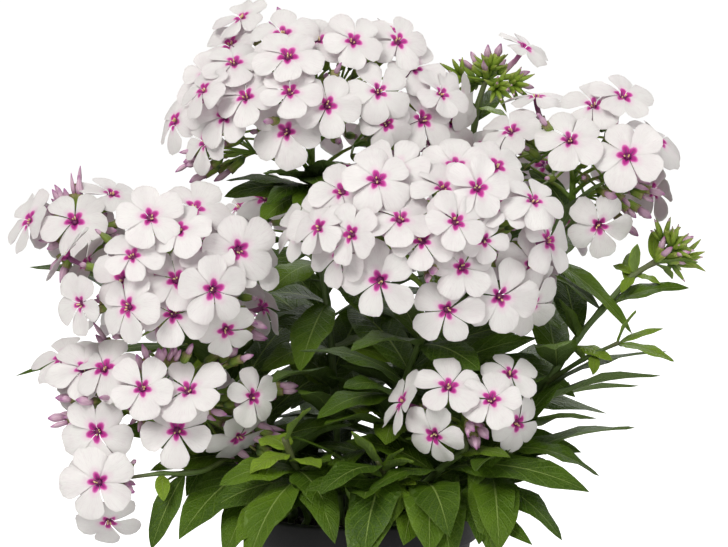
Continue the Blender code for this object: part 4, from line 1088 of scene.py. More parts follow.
def loft(paths, radii):
    """Rings round each path: path + radius * (cos a * across + sin a * along), and two ends.

    paths is (copies, rings, 3) and radii is (copies, rings, sides). It gives the points, the
    quads, the triangles of the two ends, and for each point its place round and along the loft.
    """
    count, rings, sides = radii.shape
    ahead = unit(np.gradient(paths, axis=1))
    chord = unit(paths[:, -1] - paths[:, 0])
    hint = np.where(np.abs(chord[:, 2:]) > 0.9, [[1.0, 0.0, 0.0]], np.cross(chord, UP))
    hint = np.broadcast_to(hint[:, None], paths.shape)
    across = unit(hint - ahead * (hint * ahead).sum(-1, keepdims=True))
    along = np.cross(ahead, across)
    turns = np.arange(sides) * ROUND / sides
    way = np.cos(turns)[:, None] * across[:, :, None] + np.sin(turns)[:, None] * along[:, :, None]
    points = (paths[:, :, None] + way * radii[..., None]).reshape(count, -1, 3)
    points = np.concatenate([points, paths[:, :1], paths[:, -1:]], axis=1)
    quads, ends = tube_faces(rings, sides)
    place = np.repeat(np.linspace(0, 1, rings), sides)
    round_it = np.tile(np.abs(np.linspace(-1, 1, sides, endpoint=False)), rings)
    uv = np.stack([np.append(round_it, [0.5, 0.5]), np.append(place, [0.0, 1.0])], 1)
    each = points.shape[1]
    return (points.reshape(-1, 3), for_each(quads, count, each), for_each(ends, count, each),
            np.tile(uv, (count, 1)))


def join(*lofts):
    """Several lofts as one: points, quads, triangles, uv."""
    shift = np.cumsum([0] + [len(part[0]) for part in lofts])[:-1]
    return (np.vstack([part[0] for part in lofts]),
            np.vstack([part[1] + by for part, by in zip(lofts, shift)]),
            np.vstack([part[2] + by for part, by in zip(lofts, shift)]),
            np.vstack([part[3] for part in lofts]))


def curve_between(start, bend, end, count):
    """Points of simple curved lines, each from its start past its bend to its end."""
    t = np.linspace(0, 1, count)[:, None]
    return start[:, None] * (1 - t) ** 2 + bend[:, None] * 2 * t * (1 - t) + end[:, None] * t ** 2


def rows_square_to(direction, hint):
    """square_to for whole arrays."""
    first = unit(hint - direction * (hint * direction).sum(-1, keepdims=True))
    return first, np.cross(direction, first)


# %% [markdown]
# ## Nodes for living surfaces
# Plant skin is never one flat colour. Three small groups are shared by the finishes: a soft
# mottle from noise, a fine grain for bumps, and the veins of a leaf, which are worked out from
# the sheet's own coordinates so that they run with it. The shader stays in each material.

# %% Shader node helpers
class Nodes:
    """Short ways to add nodes to a tree and to join their sockets."""

    def __init__(self, tree):
        self.tree = tree

    def add(self, kind, inputs=None, **settings):
        made = self.tree.nodes.new(kind)
        for title, value in settings.items():
            setattr(made, title, value)
        for key, value in (inputs or {}).items():
            if isinstance(value, bpy.types.NodeSocket):
                self.tree.links.new(value, made.inputs[key])
            else:
                made.inputs[key].default_value = value
        return made

    def math(self, operation, *values):
        return self.add("ShaderNodeMath", dict(enumerate(values)), operation=operation).outputs[0]

    def mix(self, share, first, second, blend="MIX"):
        """A colour between two colours."""
        first, second = (value if isinstance(value, bpy.types.NodeSocket) else (*value, 1.0)
                         for value in (first, second))
        return self.add("ShaderNodeMix", {0: share, 6: first, 7: second}, data_type="RGBA",
                        blend_type=blend).outputs[2]

    def step(self, value, low, high, start=0.0, end=1.0):
        """A soft step from start to end while the value goes from low to high."""
        return self.add("ShaderNodeMapRange", {0: value, 1: low, 2: high, 3: start, 4: end},
                        interpolation_type="SMOOTHSTEP").outputs[0]

    def noise(self, vector, scale, detail=3.0):
        return self.add("ShaderNodeTexNoise",
                        {"Vector": vector, "Scale": scale, "Detail": detail}).outputs[0]

    def value(self, title):
        return self.add("ShaderNodeAttribute", attribute_name=title).outputs["Fac"]

    def times(self, first, second):
        return self.math("MULTIPLY", first, second)

    def plus(self, first, second):
        return self.math("ADD", first, second)

    def scaled(self, value, factor, more):
        """value * factor + more."""
        return self.math("MULTIPLY_ADD", value, factor, more)

    def place(self):
        """The object's own coordinates."""
        return self.add("ShaderNodeTexCoord").outputs["Object"]

    def places(self):
        """The object's own coordinates, and the place across and along from the uv."""
        place = self.add("ShaderNodeTexCoord").outputs
        sides = self.add("ShaderNodeSeparateXYZ", {0: place["UV"]}).outputs
        return place["Object"], sides[0], sides[1]

    def feed(self, node, **values):
        """Joins values to sockets of a node that is there; an underscore stands for a space."""
        for socket, value in values.items():
            self.tree.links.new(value, node.inputs[socket.replace("_", " ")])

    def use(self, group, **inputs):
        """Places a shared group with its own values, and gives what comes out of it."""
        values = {socket.replace("_", " "): value for socket, value in inputs.items()}
        made = list(self.add("ShaderNodeGroup", values, node_tree=group).outputs)
        return made if len(made) > 1 else made[0]

    def bump(self, shader, height, strength, distance):
        """Feeds a height through a bump node to the shader's normal; distance is in metres."""
        made = self.add("ShaderNodeBump",
                        {"Height": height, "Strength": strength, "Distance": distance})
        self.feed(shader, Normal=made.outputs[0])


def new_group(title, inputs, outputs):
    """An empty node group with named sockets, and its helper."""
    group = bpy.data.node_groups.new(title, "ShaderNodeTree")
    for name, kind, start in inputs:
        socket = group.interface.new_socket(name, in_out="INPUT", socket_type=kind)
        if start is not None:
            socket.default_value = start
    for name, kind in outputs:
        group.interface.new_socket(name, in_out="OUTPUT", socket_type=kind)
    nodes = Nodes(group)
    return group, nodes, nodes.add("NodeGroupInput").outputs, nodes.add("NodeGroupOutput")


def mottle_group():
    """Noise stretched between two values: a soft mask for patches of tone."""
    group, nodes, given, result = new_group(
        "mottle", [("Vector", "NodeSocketVector", None), ("Scale", "NodeSocketFloat", 200.0),
                   ("Low", "NodeSocketFloat", 0.4), ("High", "NodeSocketFloat", 0.65)],
        [("Mask", "NodeSocketFloat")])
    noise = nodes.noise(given["Vector"], given["Scale"])
    nodes.feed(result, Mask=nodes.step(noise, given["Low"], given["High"]))
    return group


def grain_group():
    """A fine and a coarse noise added up, for the height of a bump."""
    group, nodes, given, result = new_group(
        "grain", [("Vector", "NodeSocketVector", None), ("Fine", "NodeSocketFloat", 2500.0),
                  ("Coarse", "NodeSocketFloat", 400.0), ("Coarse share", "NodeSocketFloat", 0.5)],
        [("Height", "NodeSocketFloat")])
    fine = nodes.noise(given["Vector"], given["Fine"], 2.0)
    coarse = nodes.noise(given["Vector"], given["Coarse"], 2.0)
    both = nodes.add("ShaderNodeMix", {0: given["Coarse share"], 2: fine, 3: coarse}).outputs[0]
    nodes.feed(result, Height=both)
    return group


def veins_group():
    """Veins of a blade: one line up the middle, and pairs that leave it and arch to the tip.

    Across goes from -1 to 1 and Along from 0 to 1. A side vein lies where
    (Along - Sweep * |Across| ** 0.8) * Pairs is a whole number.
    """
    group, nodes, given, result = new_group(
        "veins", [("Across", "NodeSocketFloat", 0.0), ("Along", "NodeSocketFloat", 0.0),
                  ("Pairs", "NodeSocketFloat", 9.0), ("Sweep", "NodeSocketFloat", 0.2)],
        [("Midrib", "NodeSocketFloat"), ("Side", "NodeSocketFloat")])
    out = nodes.math("ABSOLUTE", given["Across"])
    width = nodes.scaled(given["Along"], -0.045, 0.08)
    midrib = nodes.step(nodes.math("DIVIDE", out, width), 0.35, 1.0, 1.0, 0.0)
    swept = nodes.times(nodes.math("POWER", out, 0.8), given["Sweep"])
    phase = nodes.times(nodes.math("SUBTRACT", given["Along"], swept), given["Pairs"])
    near = nodes.math("PINGPONG", phase, 0.5)
    line = nodes.step(near, 0.02, 0.13, 1.0, 0.0)
    fade = nodes.step(out, 0.6, 1.0, 1.0, 0.15)
    nodes.feed(result, Midrib=midrib, Side=nodes.times(line, fade))
    return group


MOTTLE, GRAIN, VEINS = mottle_group(), grain_group(), veins_group()


def new_material(title, **constants):
    """A material with its helper and shader; constants go straight on the shader's sockets."""
    material = bpy.data.materials.new(title)
    material.use_nodes = True
    nodes = Nodes(material.node_tree)
    shader = material.node_tree.nodes["Principled BSDF"]
    for socket, value in constants.items():
        shader.inputs[socket.replace("_", " ")].default_value = value
    return material, nodes, shader


print([group.name for group in bpy.data.node_groups])

# %% [markdown]
# ## The finish of a petal
# A petal is white, with a round magenta blotch at its base. The five blotches make the eye, and
# each one fades to pink at its edge. The petal's own coordinates drive it: across runs from edge
# to edge and reach runs from the throat to the tip as a share of the flower's radius. A faint
# mauve shade on the back and fine lines that run out to the edge keep the white from looking
# like paper.

# %% Petal finish
def petal_finish():
    material, nodes, shader = new_material("white_petal", Roughness=0.55, Subsurface_Weight=0.32,
                                           Subsurface_Radius=(1.0, 0.84, 0.95),
                                           Subsurface_Scale=0.0012)
    place, edge, reach = nodes.places()
    across = nodes.scaled(edge, 2.0, -1.0)
    wobble = nodes.scaled(nodes.noise(place, 700.0, 2.0), 0.16, -0.08)
    aside = nodes.math("DIVIDE", nodes.times(across, nodes.times(reach, 0.6)), 0.095)
    outward = nodes.math("DIVIDE", nodes.math("SUBTRACT", reach, 0.14), 0.138)
    far = nodes.math("SQRT", nodes.plus(nodes.math("POWER", aside, 2.0),
                                        nodes.math("POWER", outward, 2.0)))
    far = nodes.plus(nodes.plus(far, wobble), nodes.scaled(nodes.value("eye_size"), -0.3, 0.15))
    streaks = nodes.add("ShaderNodeCombineXYZ", {0: nodes.times(across, 9.0),
                                                 1: nodes.times(reach, 1.6),
                                                 2: nodes.times(nodes.value("eye_size"), 40.0)})
    lines = nodes.noise(streaks.outputs[0], 3.0, 2.0)
    shade = nodes.use(MOTTLE, Vector=place, Scale=90.0, Low=0.35, High=0.75)
    white = nodes.mix(shade, (0.9, 0.87, 0.865), (0.84, 0.79, 0.8))
    white = nodes.mix(nodes.step(lines, 0.5, 0.72, 0.0, 0.4), white, (0.76, 0.67, 0.71))
    back = nodes.times(nodes.value("underside"), 0.55)
    white = nodes.mix(back, white, (0.72, 0.56, 0.68))
    blush = nodes.step(far, 0.9, 2.6, 0.36, 0.0)
    pink = nodes.mix(blush, white, (0.85, 0.4, 0.66))
    rose = nodes.mix(nodes.step(far, 0.85, 1.25, 1.0, 0.0), pink, (0.76, 0.16, 0.52))
    magenta = nodes.mix(nodes.step(far, 0.55, 1.0, 1.0, 0.0), rose, (0.54, 0.012, 0.28))
    beam = nodes.step(nodes.math("ABSOLUTE", across), 0.1, 0.42, 1.0, 0.0)
    beam = nodes.times(beam, nodes.step(nodes.plus(reach, wobble), 0.12, 0.24, 0.8, 0.0))
    star = nodes.mix(beam, magenta, (0.16, 0.02, 0.15))
    throat = nodes.mix(nodes.step(reach, 0.06, 0.14, 1.0, 0.0), star, (0.07, 0.004, 0.05))
    nodes.feed(shader, Base_Color=throat)
    grain = nodes.use(GRAIN, Vector=place, Fine=3000.0, Coarse=350.0, Coarse_share=0.4)
    height = nodes.plus(nodes.times(lines, 0.7), nodes.times(grain, 0.5))
    nodes.bump(shader, height, 0.55, 0.0003)
    return material


PETAL = petal_finish()

# %% [markdown]
# ## Petals
# A phlox flower is a flat disc of five broad petals that overlap like a pinwheel. In polar
# coordinates about the eye, a petal is a fan: it starts as a narrow claw in the throat, widens
# to just over a fifth of the circle, and ends in a blunt round edge. Its height above the disc
# is a sum of small terms: the dip into the throat, a twist that lifts one edge over its
# neighbour, a droop at the tip, and a slow wave. Each term has its own draw for every petal,
# because no two are alike.

# %% Petal surfaces
PETAL_ROWS = np.array([0.0, 0.16, 0.4, 0.64, 0.86, 1.0])
PETAL_COLUMNS = np.array([-1.0, -0.9, -0.66, -0.33, 0.0, 0.33, 0.66, 0.9, 1.0])
THROAT_SHARE = 0.05
PETAL_THICKNESS = 0.28


def add_petals(name, flowers, seed, replaced=()):
    """Petals as shells: reach * (cos turn * across + sin turn * along) + height * face.

    reach goes from the throat to radius * (1 - blunt * |v| ** 3) with a slight wave, turn is v
    times a half angle that grows from 32 to 36 degrees and falls back to 34, and height is the
    sum of the terms above. Every factor has a draw of its own for each petal.
    """
    count = len(flowers)
    draws = np.random.default_rng(seed)
    centre, face, roll, radius = columns(flowers, "centre", "face", "roll", "radius")
    across, along = rows_square_to(face, UP)

    def draw(low, high, shape=(count, LOBES, 1, 1)):
        return draws.uniform(low, high, shape)

    u = PETAL_ROWS[:, None]
    v = PETAL_COLUMNS[None, :]
    reach_share = draw(0.89, 1.05)
    middle_rib = np.exp(-(v / 0.3) ** 2)
    edge = reach_share * (1 - draw(0.19, 0.34) * np.abs(v) ** 3 - draw(0.0, 0.05) * middle_rib
                          + draw(0.0, 0.022) * np.sin(6 * v + draw(0, ROUND)))
    q = THROAT_SHARE + u * (edge - THROAT_SHARE)
    half_angle = np.radians(32 + 15 * u - 13 * u ** 2) * draw(0.88, 1.07)
    middle = roll[:, None, None, None] + np.arange(LOBES)[:, None, None] * ROUND / LOBES
    turn = middle + draw(-0.035, 0.035) + v * half_angle + 0.05 * u
    droop = draw(0.0, 0.24) + draw(-0.06, 0.14, (count, 1, 1, 1))
    height = 0.05 * u - droop * q ** 2.4
    height = height + 0.055 * v * np.minimum(q, 0.8) + draw(-0.06, 0.03) * v ** 2 * q
    height = height + draw(0.0, 0.06) * np.sin(4 * v * u + draw(0, ROUND)) * q
    height = height - 0.028 * middle_rib * np.sin(math.pi * np.minimum(q, 1))
    height = height - 0.16 * np.exp(-((q - THROAT_SHARE) / 0.055) ** 2)
    size = radius[:, None, None, None]
    q, height = q * size, height * size
    grids = (count * LOBES, len(PETAL_ROWS), len(PETAL_COLUMNS))

    def place(lift):
        points = (q * np.cos(turn))[..., None] * across[:, None, None, None]
        points = points + (q * np.sin(turn))[..., None] * along[:, None, None, None]
        points = points + (height - lift)[..., None] * face[:, None, None, None]
        return (points + centre[:, None, None, None]).reshape(*grids, 3)

    add_sheets(name, place(0.0), place(PETAL_THICKNESS), (v / 2 + 0.5, (q / size).reshape(grids)),
               dict(eye_size=np.repeat(draws.uniform(0, 1, count), LOBES)), PETAL, "petals",
               replaced)


for number, name in enumerate(HEADS):
    add_petals(name + "_petals", plan["flowers"][name], 100 + number, [name])

# %% [markdown]
# ## Anthers
# Cream anthers show in the throat of each flower: three short grains, each one a little off the
# middle and leaning out. A short loft with rounded ends is enough at this size.

# %% Anthers
ANTHER_LENGTH = 1.5
ANTHER_WIDTH = 0.34


def anther_lines(flowers, draws):
    """Short lines out of each throat: centre + offset across the face, then along the face."""
    centre, face = columns(flowers, "centre", "face")
    across, along = rows_square_to(face, UP)
    turn = draws.uniform(0, ROUND, (3, len(flowers), 1))
    way = (np.cos(turn) * across + np.sin(turn) * along) * draws.uniform(0.35, 1.1, turn.shape)
    start = centre + way - face * 0.9
    end = start + (face + way * 0.35) * ANTHER_LENGTH * draws.uniform(0.7, 1.1, turn.shape)
    return np.linspace(start, end, 4, axis=2).reshape(-1, 4, 3)


def anther_finish():
    material, nodes, shader = new_material("cream_anther", Roughness=0.7)
    dust = nodes.use(MOTTLE, Vector=nodes.place(), Scale=1200.0)
    nodes.feed(shader, Base_Color=nodes.mix(dust, (0.78, 0.62, 0.26), (0.85, 0.76, 0.45)))
    return material


ANTHER = anther_finish()
for number, name in enumerate(HEADS):
    lines = anther_lines(plan["flowers"][name], np.random.default_rng(900 + number))
    widths = np.array([0.5, 1.0, 1.0, 0.5])[None, :, None] * ANTHER_WIDTH
    grains = loft(lines, np.broadcast_to(widths, (len(lines), 4, 5)))
    make_piece(name + "_anthers", *grains[:3], ANTHER, "petals")
    print(name, len(lines), "anthers")

# %% [markdown]
# ## Under the flowers
# A head is a panicle: the stem's tip branches again and again, and each twig ends in a green
# calyx that holds one flower. From the calyx a thin mauve tube, over two centimetres long,
# carries the disc. From the front only hints of this show between the petals, but without it a
# head would look like paper discs on a ball. Each flower's line runs from its throat back along
# its face, bends to its root and goes on to the head's own axis. The tube takes the outer part
# of the line, the calyx a piece of the middle, and the twig the rest.

# %% Finishes of tubes, calyces and twigs
def tone_along(nodes, along, stops):
    """A colour that goes softly from one stop to the next: each is (start, end, colour)."""
    colour = stops[0][2]
    for low, high, later in stops[1:]:
        colour = nodes.mix(nodes.step(along, low, high), colour, later)
    return colour


def skin_finish(title, stops, ribs, roughness, patch=(0.55, 0.5, 0.4), **constants):
    """Green or mauve skin with ribs along it and a painted sheen on their crests; UV goes round the
    piece and along it.
    """
    material, nodes, shader = new_material(title, Roughness=roughness, **constants)
    place, around, along = nodes.places()
    colour = tone_along(nodes, along, stops)
    tint = nodes.value("tint")
    patches = nodes.use(MOTTLE, Vector=place, Scale=240.0, Low=0.42, High=0.7)
    colour = nodes.mix(nodes.times(patches, 0.45), colour, patch, "MULTIPLY")
    colour = nodes.mix(nodes.times(tint, 0.5), colour, (0.62, 0.5, 0.62), "MULTIPLY")
    wave = nodes.math("SINE", nodes.times(around, ribs * ROUND))
    grain = nodes.use(GRAIN, Vector=place)
    # Painted sheen: a pale soft-light band on each rib's crest stands in for light catching the
    # ribs.
    painted_rib_sheen = nodes.step(wave, 0.2, 1.0, 0.0, 0.28)
    nodes.feed(shader, Base_Color=nodes.mix(painted_rib_sheen, colour, (1.0, 1.0, 0.85), "SOFT_LIGHT"))
    nodes.bump(shader, nodes.plus(nodes.times(wave, 0.5), grain), 0.4, 0.0002)
    return material


TUBE = skin_finish("mauve_tube", [(0, 0, (0.5, 0.32, 0.42)), (0.2, 0.75, (0.36, 0.1, 0.27)),
                                  (0.8, 1.0, (0.2, 0.03, 0.13))], 3, 0.5)
CALYX = skin_finish("calyx_green", [(0, 0, (0.09, 0.17, 0.035)), (0.1, 0.45, (0.22, 0.34, 0.04)),
                                    (0.6, 1.0, (0.28, 0.26, 0.1))], 5, 0.5)
TWIG = skin_finish("twig_green", [(0, 0, (0.2, 0.36, 0.04)), (0.2, 0.8, (0.28, 0.42, 0.06)),
                                  (0.8, 1.0, (0.3, 0.28, 0.1))], 4, 0.5)
BUD = skin_finish("lilac_bud", [(0, 0, (0.2, 0.16, 0.1)), (0.15, 0.35, (0.34, 0.13, 0.28)),
                                (0.35, 0.62, (0.74, 0.5, 0.64)), (0.8, 1.0, (0.46, 0.17, 0.4))],
                  3, 0.48, (0.82, 0.66, 0.8))
SPRIG = skin_finish("sprig_green", [(0, 0, (0.12, 0.22, 0.02)), (0.1, 0.5, (0.25, 0.38, 0.035)),
                                    (0.6, 1.0, (0.36, 0.42, 0.09))], 5, 0.5)

# %% Tubes, calyces and twigs
TUBE_WIDTH = 1.15
CALYX_WIDTH = 1.7
TWIG_WIDTH = 0.5
FORK_GROUP = 6
FORK_RING = 4
SPRIG_WIDTH = 1.05
CALYX_PROFILE = np.array([0.35, 0.95, 1.0, 0.95, 0.98, 1.05])
SHUT_PROFILE = np.array([0.4, 0.85, 1.0, 0.85, 0.5, 0.12])
CALYX_TEETH = 5


def points_at(lines, shares):
    """The points of each line at shares of its count of steps: (lines, shares)."""
    places = shares * (lines.shape[1] - 1)
    first = np.minimum(places.astype(int), lines.shape[1] - 2)
    t = (places - first)[..., None]
    row = np.arange(len(lines))[:, None]
    return lines[row, first] * (1 - t) + lines[row, first + 1] * t


def slice_of(lines, low, high, count):
    """The stretch of each line between two shares of its length, as that many points."""
    return points_at(lines, np.broadcast_to(np.linspace(low, high, count), (len(lines), count)))


def tails(lines, low, high, count):
    """The stretch of each line between two distances from its tip, in mm, as that many points."""
    low, high = (np.broadcast_to(value, len(lines))[:, None] for value in (low, high))
    reach = np.linalg.norm(np.diff(lines, axis=1), axis=2).sum(axis=1)[:, None]
    back = (low + (high - low) * np.linspace(0, 1, count)) * np.minimum(0.96 * reach / low, 1.0)
    return points_at(lines, 1 - back / reach)


def calyx_loft(lines, low, high, profile=CALYX_PROFILE, width=CALYX_WIDTH):
    """Cups round part of each line, with five teeth: every second side is a rib."""
    paths = slice_of(lines, low, high, len(profile))
    sides = 2 * CALYX_TEETH
    radii = np.broadcast_to(profile[None, :, None] * width, (*paths.shape[:2], sides)).copy()
    radii[:, -1, ::2] *= 0.72
    radii[:, -2:, 1::2] *= 1.12
    return loft(paths, radii)


def bare_loft(paths, start, end, sides):
    """Plain tapered tubes."""
    widths = np.linspace(start, end, paths.shape[1])[None, :, None]
    return loft(paths, np.broadcast_to(widths, (*paths.shape[:2], sides)))


def tints(part, count, draws):
    """One draw for each copy, given to all of its points."""
    return np.repeat(draws.uniform(0, 1, count), len(part[0]) // count)


def flower_lines(flowers):
    """From the throat back along the face, then on to the root."""
    centre, face, root = columns(flowers, "centre", "face", "root")
    start = centre - face * 1.2
    reach = np.linalg.norm(root - start, axis=1, keepdims=True)
    return curve_between(start, start - face * reach * 0.45, root, 13)


def twig_paths(ends, axis_low, axis_high):
    """Twigs from the head's axis out to the ends: they leave the axis upwards and bend out."""
    height = axis_high[2] - axis_low[2]
    share = np.clip((ends[:, 2] - axis_low[2]) / max(height, 1e-6) - 0.35, 0.0, 1.0)[:, None]
    start = axis_low + (axis_high - axis_low) * share
    reach = np.linalg.norm(ends - start, axis=1, keepdims=True)
    return curve_between(start, start + (ends - start) * 0.45 + UP * 0.22 * reach, ends, 7)


def forked_twigs(feet, low, high):
    """Branches out of a head's axis to shared forks, and a twig from each fork to each of its feet.

    Every sixth foot marks a group and the others join the nearest mark. A group's fork lies on
    the way from the axis to the group's middle.
    """
    marks = np.unique(feet[::FORK_GROUP], axis=0)
    own = np.argmin(np.linalg.norm(feet[:, None] - marks, axis=2), axis=1)
    middles = np.array([feet[own == mark].mean(axis=0) for mark in range(len(marks))])
    branches = twig_paths(middles, low, high)[:, :FORK_RING + 1]
    forks = branches[own, -1]
    reach = np.linalg.norm(feet - forks, axis=1, keepdims=True)
    return branches, curve_between(forks, (forks + feet) / 2 + UP * 0.08 * reach, feet, 6)


def head_axes(name):
    """The lower and upper end of the axis in each dome, and the dome itself."""
    axes = []
    for middle, radii in head_domes(HEADS[name]):
        core = core_radii(radii)
        axes.append((middle - UP * (core[2] + GAP), middle + UP * core[2] * 0.7, middle, radii))
    return axes


def nearest_axis(points, axes):
    """Which axis each point belongs to: the one of the dome that it is deepest in."""
    return np.argmin([np.linalg.norm((points - middle) / radii, axis=1)
                      for low, high, middle, radii in axes], axis=0)


def add_tubes(name, flowers, draws, end=0.66, taper=0.72, sides=6):
    """Tubes along the outer part of the flowers' lines, their colours from the far end."""
    tube = bare_loft(slice_of(flower_lines(flowers), 0.0, end, 7), TUBE_WIDTH, TUBE_WIDTH * taper,
                     sides)
    tint = tints(tube, len(flowers), draws) if draws else 0.0
    add_loft(name, (*tube[:3], 1 - tube[3]), TUBE, "petals", tint)
    print(name, len(tube[1]), "quads")


for number, name in enumerate(HEADS):
    add_tubes(name + "_tubes", plan["flowers"][name], np.random.default_rng(200 + number))

# %% [markdown]
# ## Buds between the flowers
# New buds go on opening for weeks, so every head has some at all ages. A ripe bud is a long
# spindle of furled petals: they are wound round each other, which shows as a spiral groove. The
# groove is a wave in the radius that turns as it goes up. Small green buds, most of them calyx,
# fill the room between the twigs below the flowers.

# %% Buds and young buds
BUD_PROFILE = np.array([0.4, 0.42, 0.5, 0.7, 0.92, 1.0, 0.9, 0.6, 0.16])
BUD_SIDES = 8
SPIRAL_TURNS = 0.9
YOUNG_BUDS = 30
YOUNG_LENGTH = 9.0
RIPE_LENGTH = (8.0, 15.0)
RIPE_BELLY = 0.86
PETAL_ROOM = 0.96
BUNCH = 4
BUNCH_SPREAD = 3.2


def bud_loft(lines, bellies):
    """Spindles: belly * profile(along) * (1 + 0.13 * cos(2 * (round - spiral * along)))."""
    rings = len(BUD_PROFILE)
    paths = slice_of(lines, 0.0, 1.0, rings)
    turns = np.arange(BUD_SIDES) * ROUND / BUD_SIDES
    wind = SPIRAL_TURNS * ROUND * np.linspace(0, 1, rings)[:, None]
    groove = 1 + 0.13 * np.cos(2 * (turns - wind)) * (BUD_PROFILE[:, None] > 0.5)
    return loft(paths, bellies[:, None, None] * (BUD_PROFILE[:, None] * groove)[None])


def bud_lines(buds, draws):
    """Buds a little bent: from the root past a bend to the tip."""
    root, tip = columns(buds, "root", "tip")
    sway = draws.normal(0, 0.06, root.shape) * np.linalg.norm(tip - root, axis=1, keepdims=True)
    return curve_between(root, (root + tip) / 2 + sway, tip, 13)


def beside_petals(tips, flowers):
    """Which tips lie outside every flower's disc, or well above or below it."""
    centre, face, radius = columns(flowers, "centre", "face", "radius")
    away = tips[:, None] - centre
    rise = (away * face).sum(-1)
    aside = np.linalg.norm(away - rise[..., None] * face, axis=-1)
    return ((aside > PETAL_ROOM * radius) | (rise > 9.0) | (rise < -4.0)).all(axis=1)


def bunches(buds, draws):
    """Each bud with younger ones beside it, which are shorter and slimmer."""
    grown = list(buds)
    for bud in buds:
        for _ in range(BUNCH - 1):
            back = (bud["tip"] - bud["root"]) * draws.uniform(0.04, 0.3)
            tip = bud["tip"] - back + draws.normal(0, BUNCH_SPREAD, 3)
            grown.append(dict(root=bud["root"], tip=tip,
                              belly=bud["belly"] * draws.uniform(0.55, 0.85)))
    return grown


def young_bud_lines(name, draws):
    """Short lines that stand out of the domes just below the flowers, spread by golden turns."""
    lines = []
    for low, high, middle, radii in head_axes(name):
        count = int(YOUNG_BUDS * (radii[0] * radii[2]) / (50 * 40)) + 8
        order = np.arange(count) + 0.5
        height = 0.95 - 1.5 * order / count
        around = np.sqrt(1 - height ** 2)
        turn = order * GOLDEN_TURN
        way = np.stack([np.cos(turn) * around, np.sin(turn) * around, height], 1)
        tip = middle + way * radii * draws.uniform(0.72, 0.9, (count, 1))
        length = YOUNG_LENGTH * draws.uniform(0.8, 1.3, (count, 1))
        root = tip - unit(way * radii + UP * 6) * length
        lines.append(curve_between(root, (root + tip) / 2 + UP * 0.8, tip, 13))
    return np.concatenate(lines)


def add_green(name, number, lines, young, buds, lengths):
    """Calyces on every line, and twigs from the axes out to their feet."""
    draws = np.random.default_rng(300 + number)
    calyces = [calyx_loft(lines, 0.72, 0.4), calyx_loft(young, 0.0, 0.9, SHUT_PROFILE)]
    feet = [slice_of(lines, 0.7, 0.7, 1)[:, 0], young[:, 0]]
    if len(buds):
        calyces.append(calyx_loft(tails(buds, lengths + 2.0, lengths * 0.58, 6), 0.0, 1.0))
        feet.append(tails(buds, lengths + 2.0, 0.0, 2)[:, 0])
    cups = join(*calyces)
    count = sum(len(foot) for foot in feet)
    add_loft(name + "_calyces", cups, CALYX, "foliage", tints(cups, count, draws))
    feet = np.vstack(feet)
    axes = head_axes(name)
    own = nearest_axis(feet, axes)
    twigs = []
    for index, axis in enumerate(axes):
        if (own == index).any():
            branches, ends = forked_twigs(feet[own == index], *axis[:2])
            twigs.append(bare_loft(branches, TWIG_WIDTH * 2.1, TWIG_WIDTH * 1.3, 6))
            twigs.append(bare_loft(ends, TWIG_WIDTH * 1.2, TWIG_WIDTH, 5))
    stalks = [bare_loft(np.linspace(axis[0], axis[1], 5)[None], 1.5, 0.8, 8) for axis in axes]
    links = [bare_loft(np.linspace(low[2], high[2], 5)[None], 1.4, 1.2, 8)
             for low, high in zip(axes[:-1], axes[1:])]
    add_loft(name + "_twigs", join(*twigs, *stalks, *links), TWIG, "foliage", 0.4)


for number, name in enumerate(HEADS):
    draws = np.random.default_rng(400 + number)
    flowers = plan["flowers"][name]
    ripe = bunches(plan["buds"][name], draws)
    if ripe:
        clear = beside_petals(*columns(ripe, "tip"), flowers)
        ripe = [bud for bud, kept in zip(ripe, clear) if kept]
    young = young_bud_lines(name, draws)
    young = young[beside_petals(young[:, -1], flowers)]
    parts = [bud_loft(slice_of(young, 0.45, 1.0, 9), draws.uniform(0.9, 1.4, len(young)))]
    grown = bud_lines(ripe, draws) if ripe else np.zeros((0, 13, 3))
    lengths = draws.uniform(*RIPE_LENGTH, len(ripe))
    if ripe:
        bellies = RIPE_BELLY * columns(ripe, "belly")[0]
        parts.append(bud_loft(tails(grown, lengths, 0.0, 13), bellies))
    buds = join(*parts)
    add_loft(name + "_buds", buds, BUD, "petals", tints(buds, len(young) + len(ripe), draws))
    add_green(name, number, flower_lines(flowers), young, grown, lengths)
    print(name, len(ripe), "ripe buds,", len(young), "young buds")

# %% [markdown]
# ## Clusters that are still shut
# Two stems carry no open head yet. Their tips are tight sprays of pointed green calyces with the
# first lilac buds pushing out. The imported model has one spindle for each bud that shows. Here a
# bud, its calyx and the twig under it follow that spindle's line. Between them stand sprigs of
# slender green calyces, spread over a cone by golden turns. One flower of the upper cluster is
# open and seen from its edge.

# %% Bud clusters
# The middles of each cluster's sprigs: column, row, depth.
SPRIGS = {
    "stem_buds_top": [(488, 68, 25), (459, 76, 22), (512, 84, 20), (496, 88, 14), (474, 82, 34)],
    "stem_buds_right": [(674, 247, -8), (684, 257, -2), (664, 240, -4), (672, 262, 2)],
}
SPRIG_CALYCES = 12
SPRIG_REACH = (6.0, 11.0)
EDGE_FLOWER = dict(centre=seen(524, 47, 22), face=unit(np.array([0.5, -0.3, 0.82])), roll=0.4,
                   root=seen(498, 78, 27), radius=FLOWER_RADIUS * 0.85)


def sprig_lines(start, middle, draws):
    """Short curved lines from a sprig's middle over a cone round its own direction."""
    ahead = unit(middle - start + UP * 2)
    across, along = square_to(ahead, UP)
    order = (np.arange(SPRIG_CALYCES) + 0.3)[:, None] / SPRIG_CALYCES
    lean = np.sqrt(order) * 1.35
    turn = order * SPRIG_CALYCES * GOLDEN_TURN + draws.uniform(0, ROUND)
    way = np.cos(lean) * ahead + np.sin(lean) * (np.cos(turn) * across + np.sin(turn) * along)
    tips = middle + way * draws.uniform(*SPRIG_REACH, lean.shape)
    starts = np.broadcast_to(middle - ahead * 1.5, tips.shape)
    return curve_between(starts, (starts + tips) / 2 + ahead * 0.6, tips, 13)


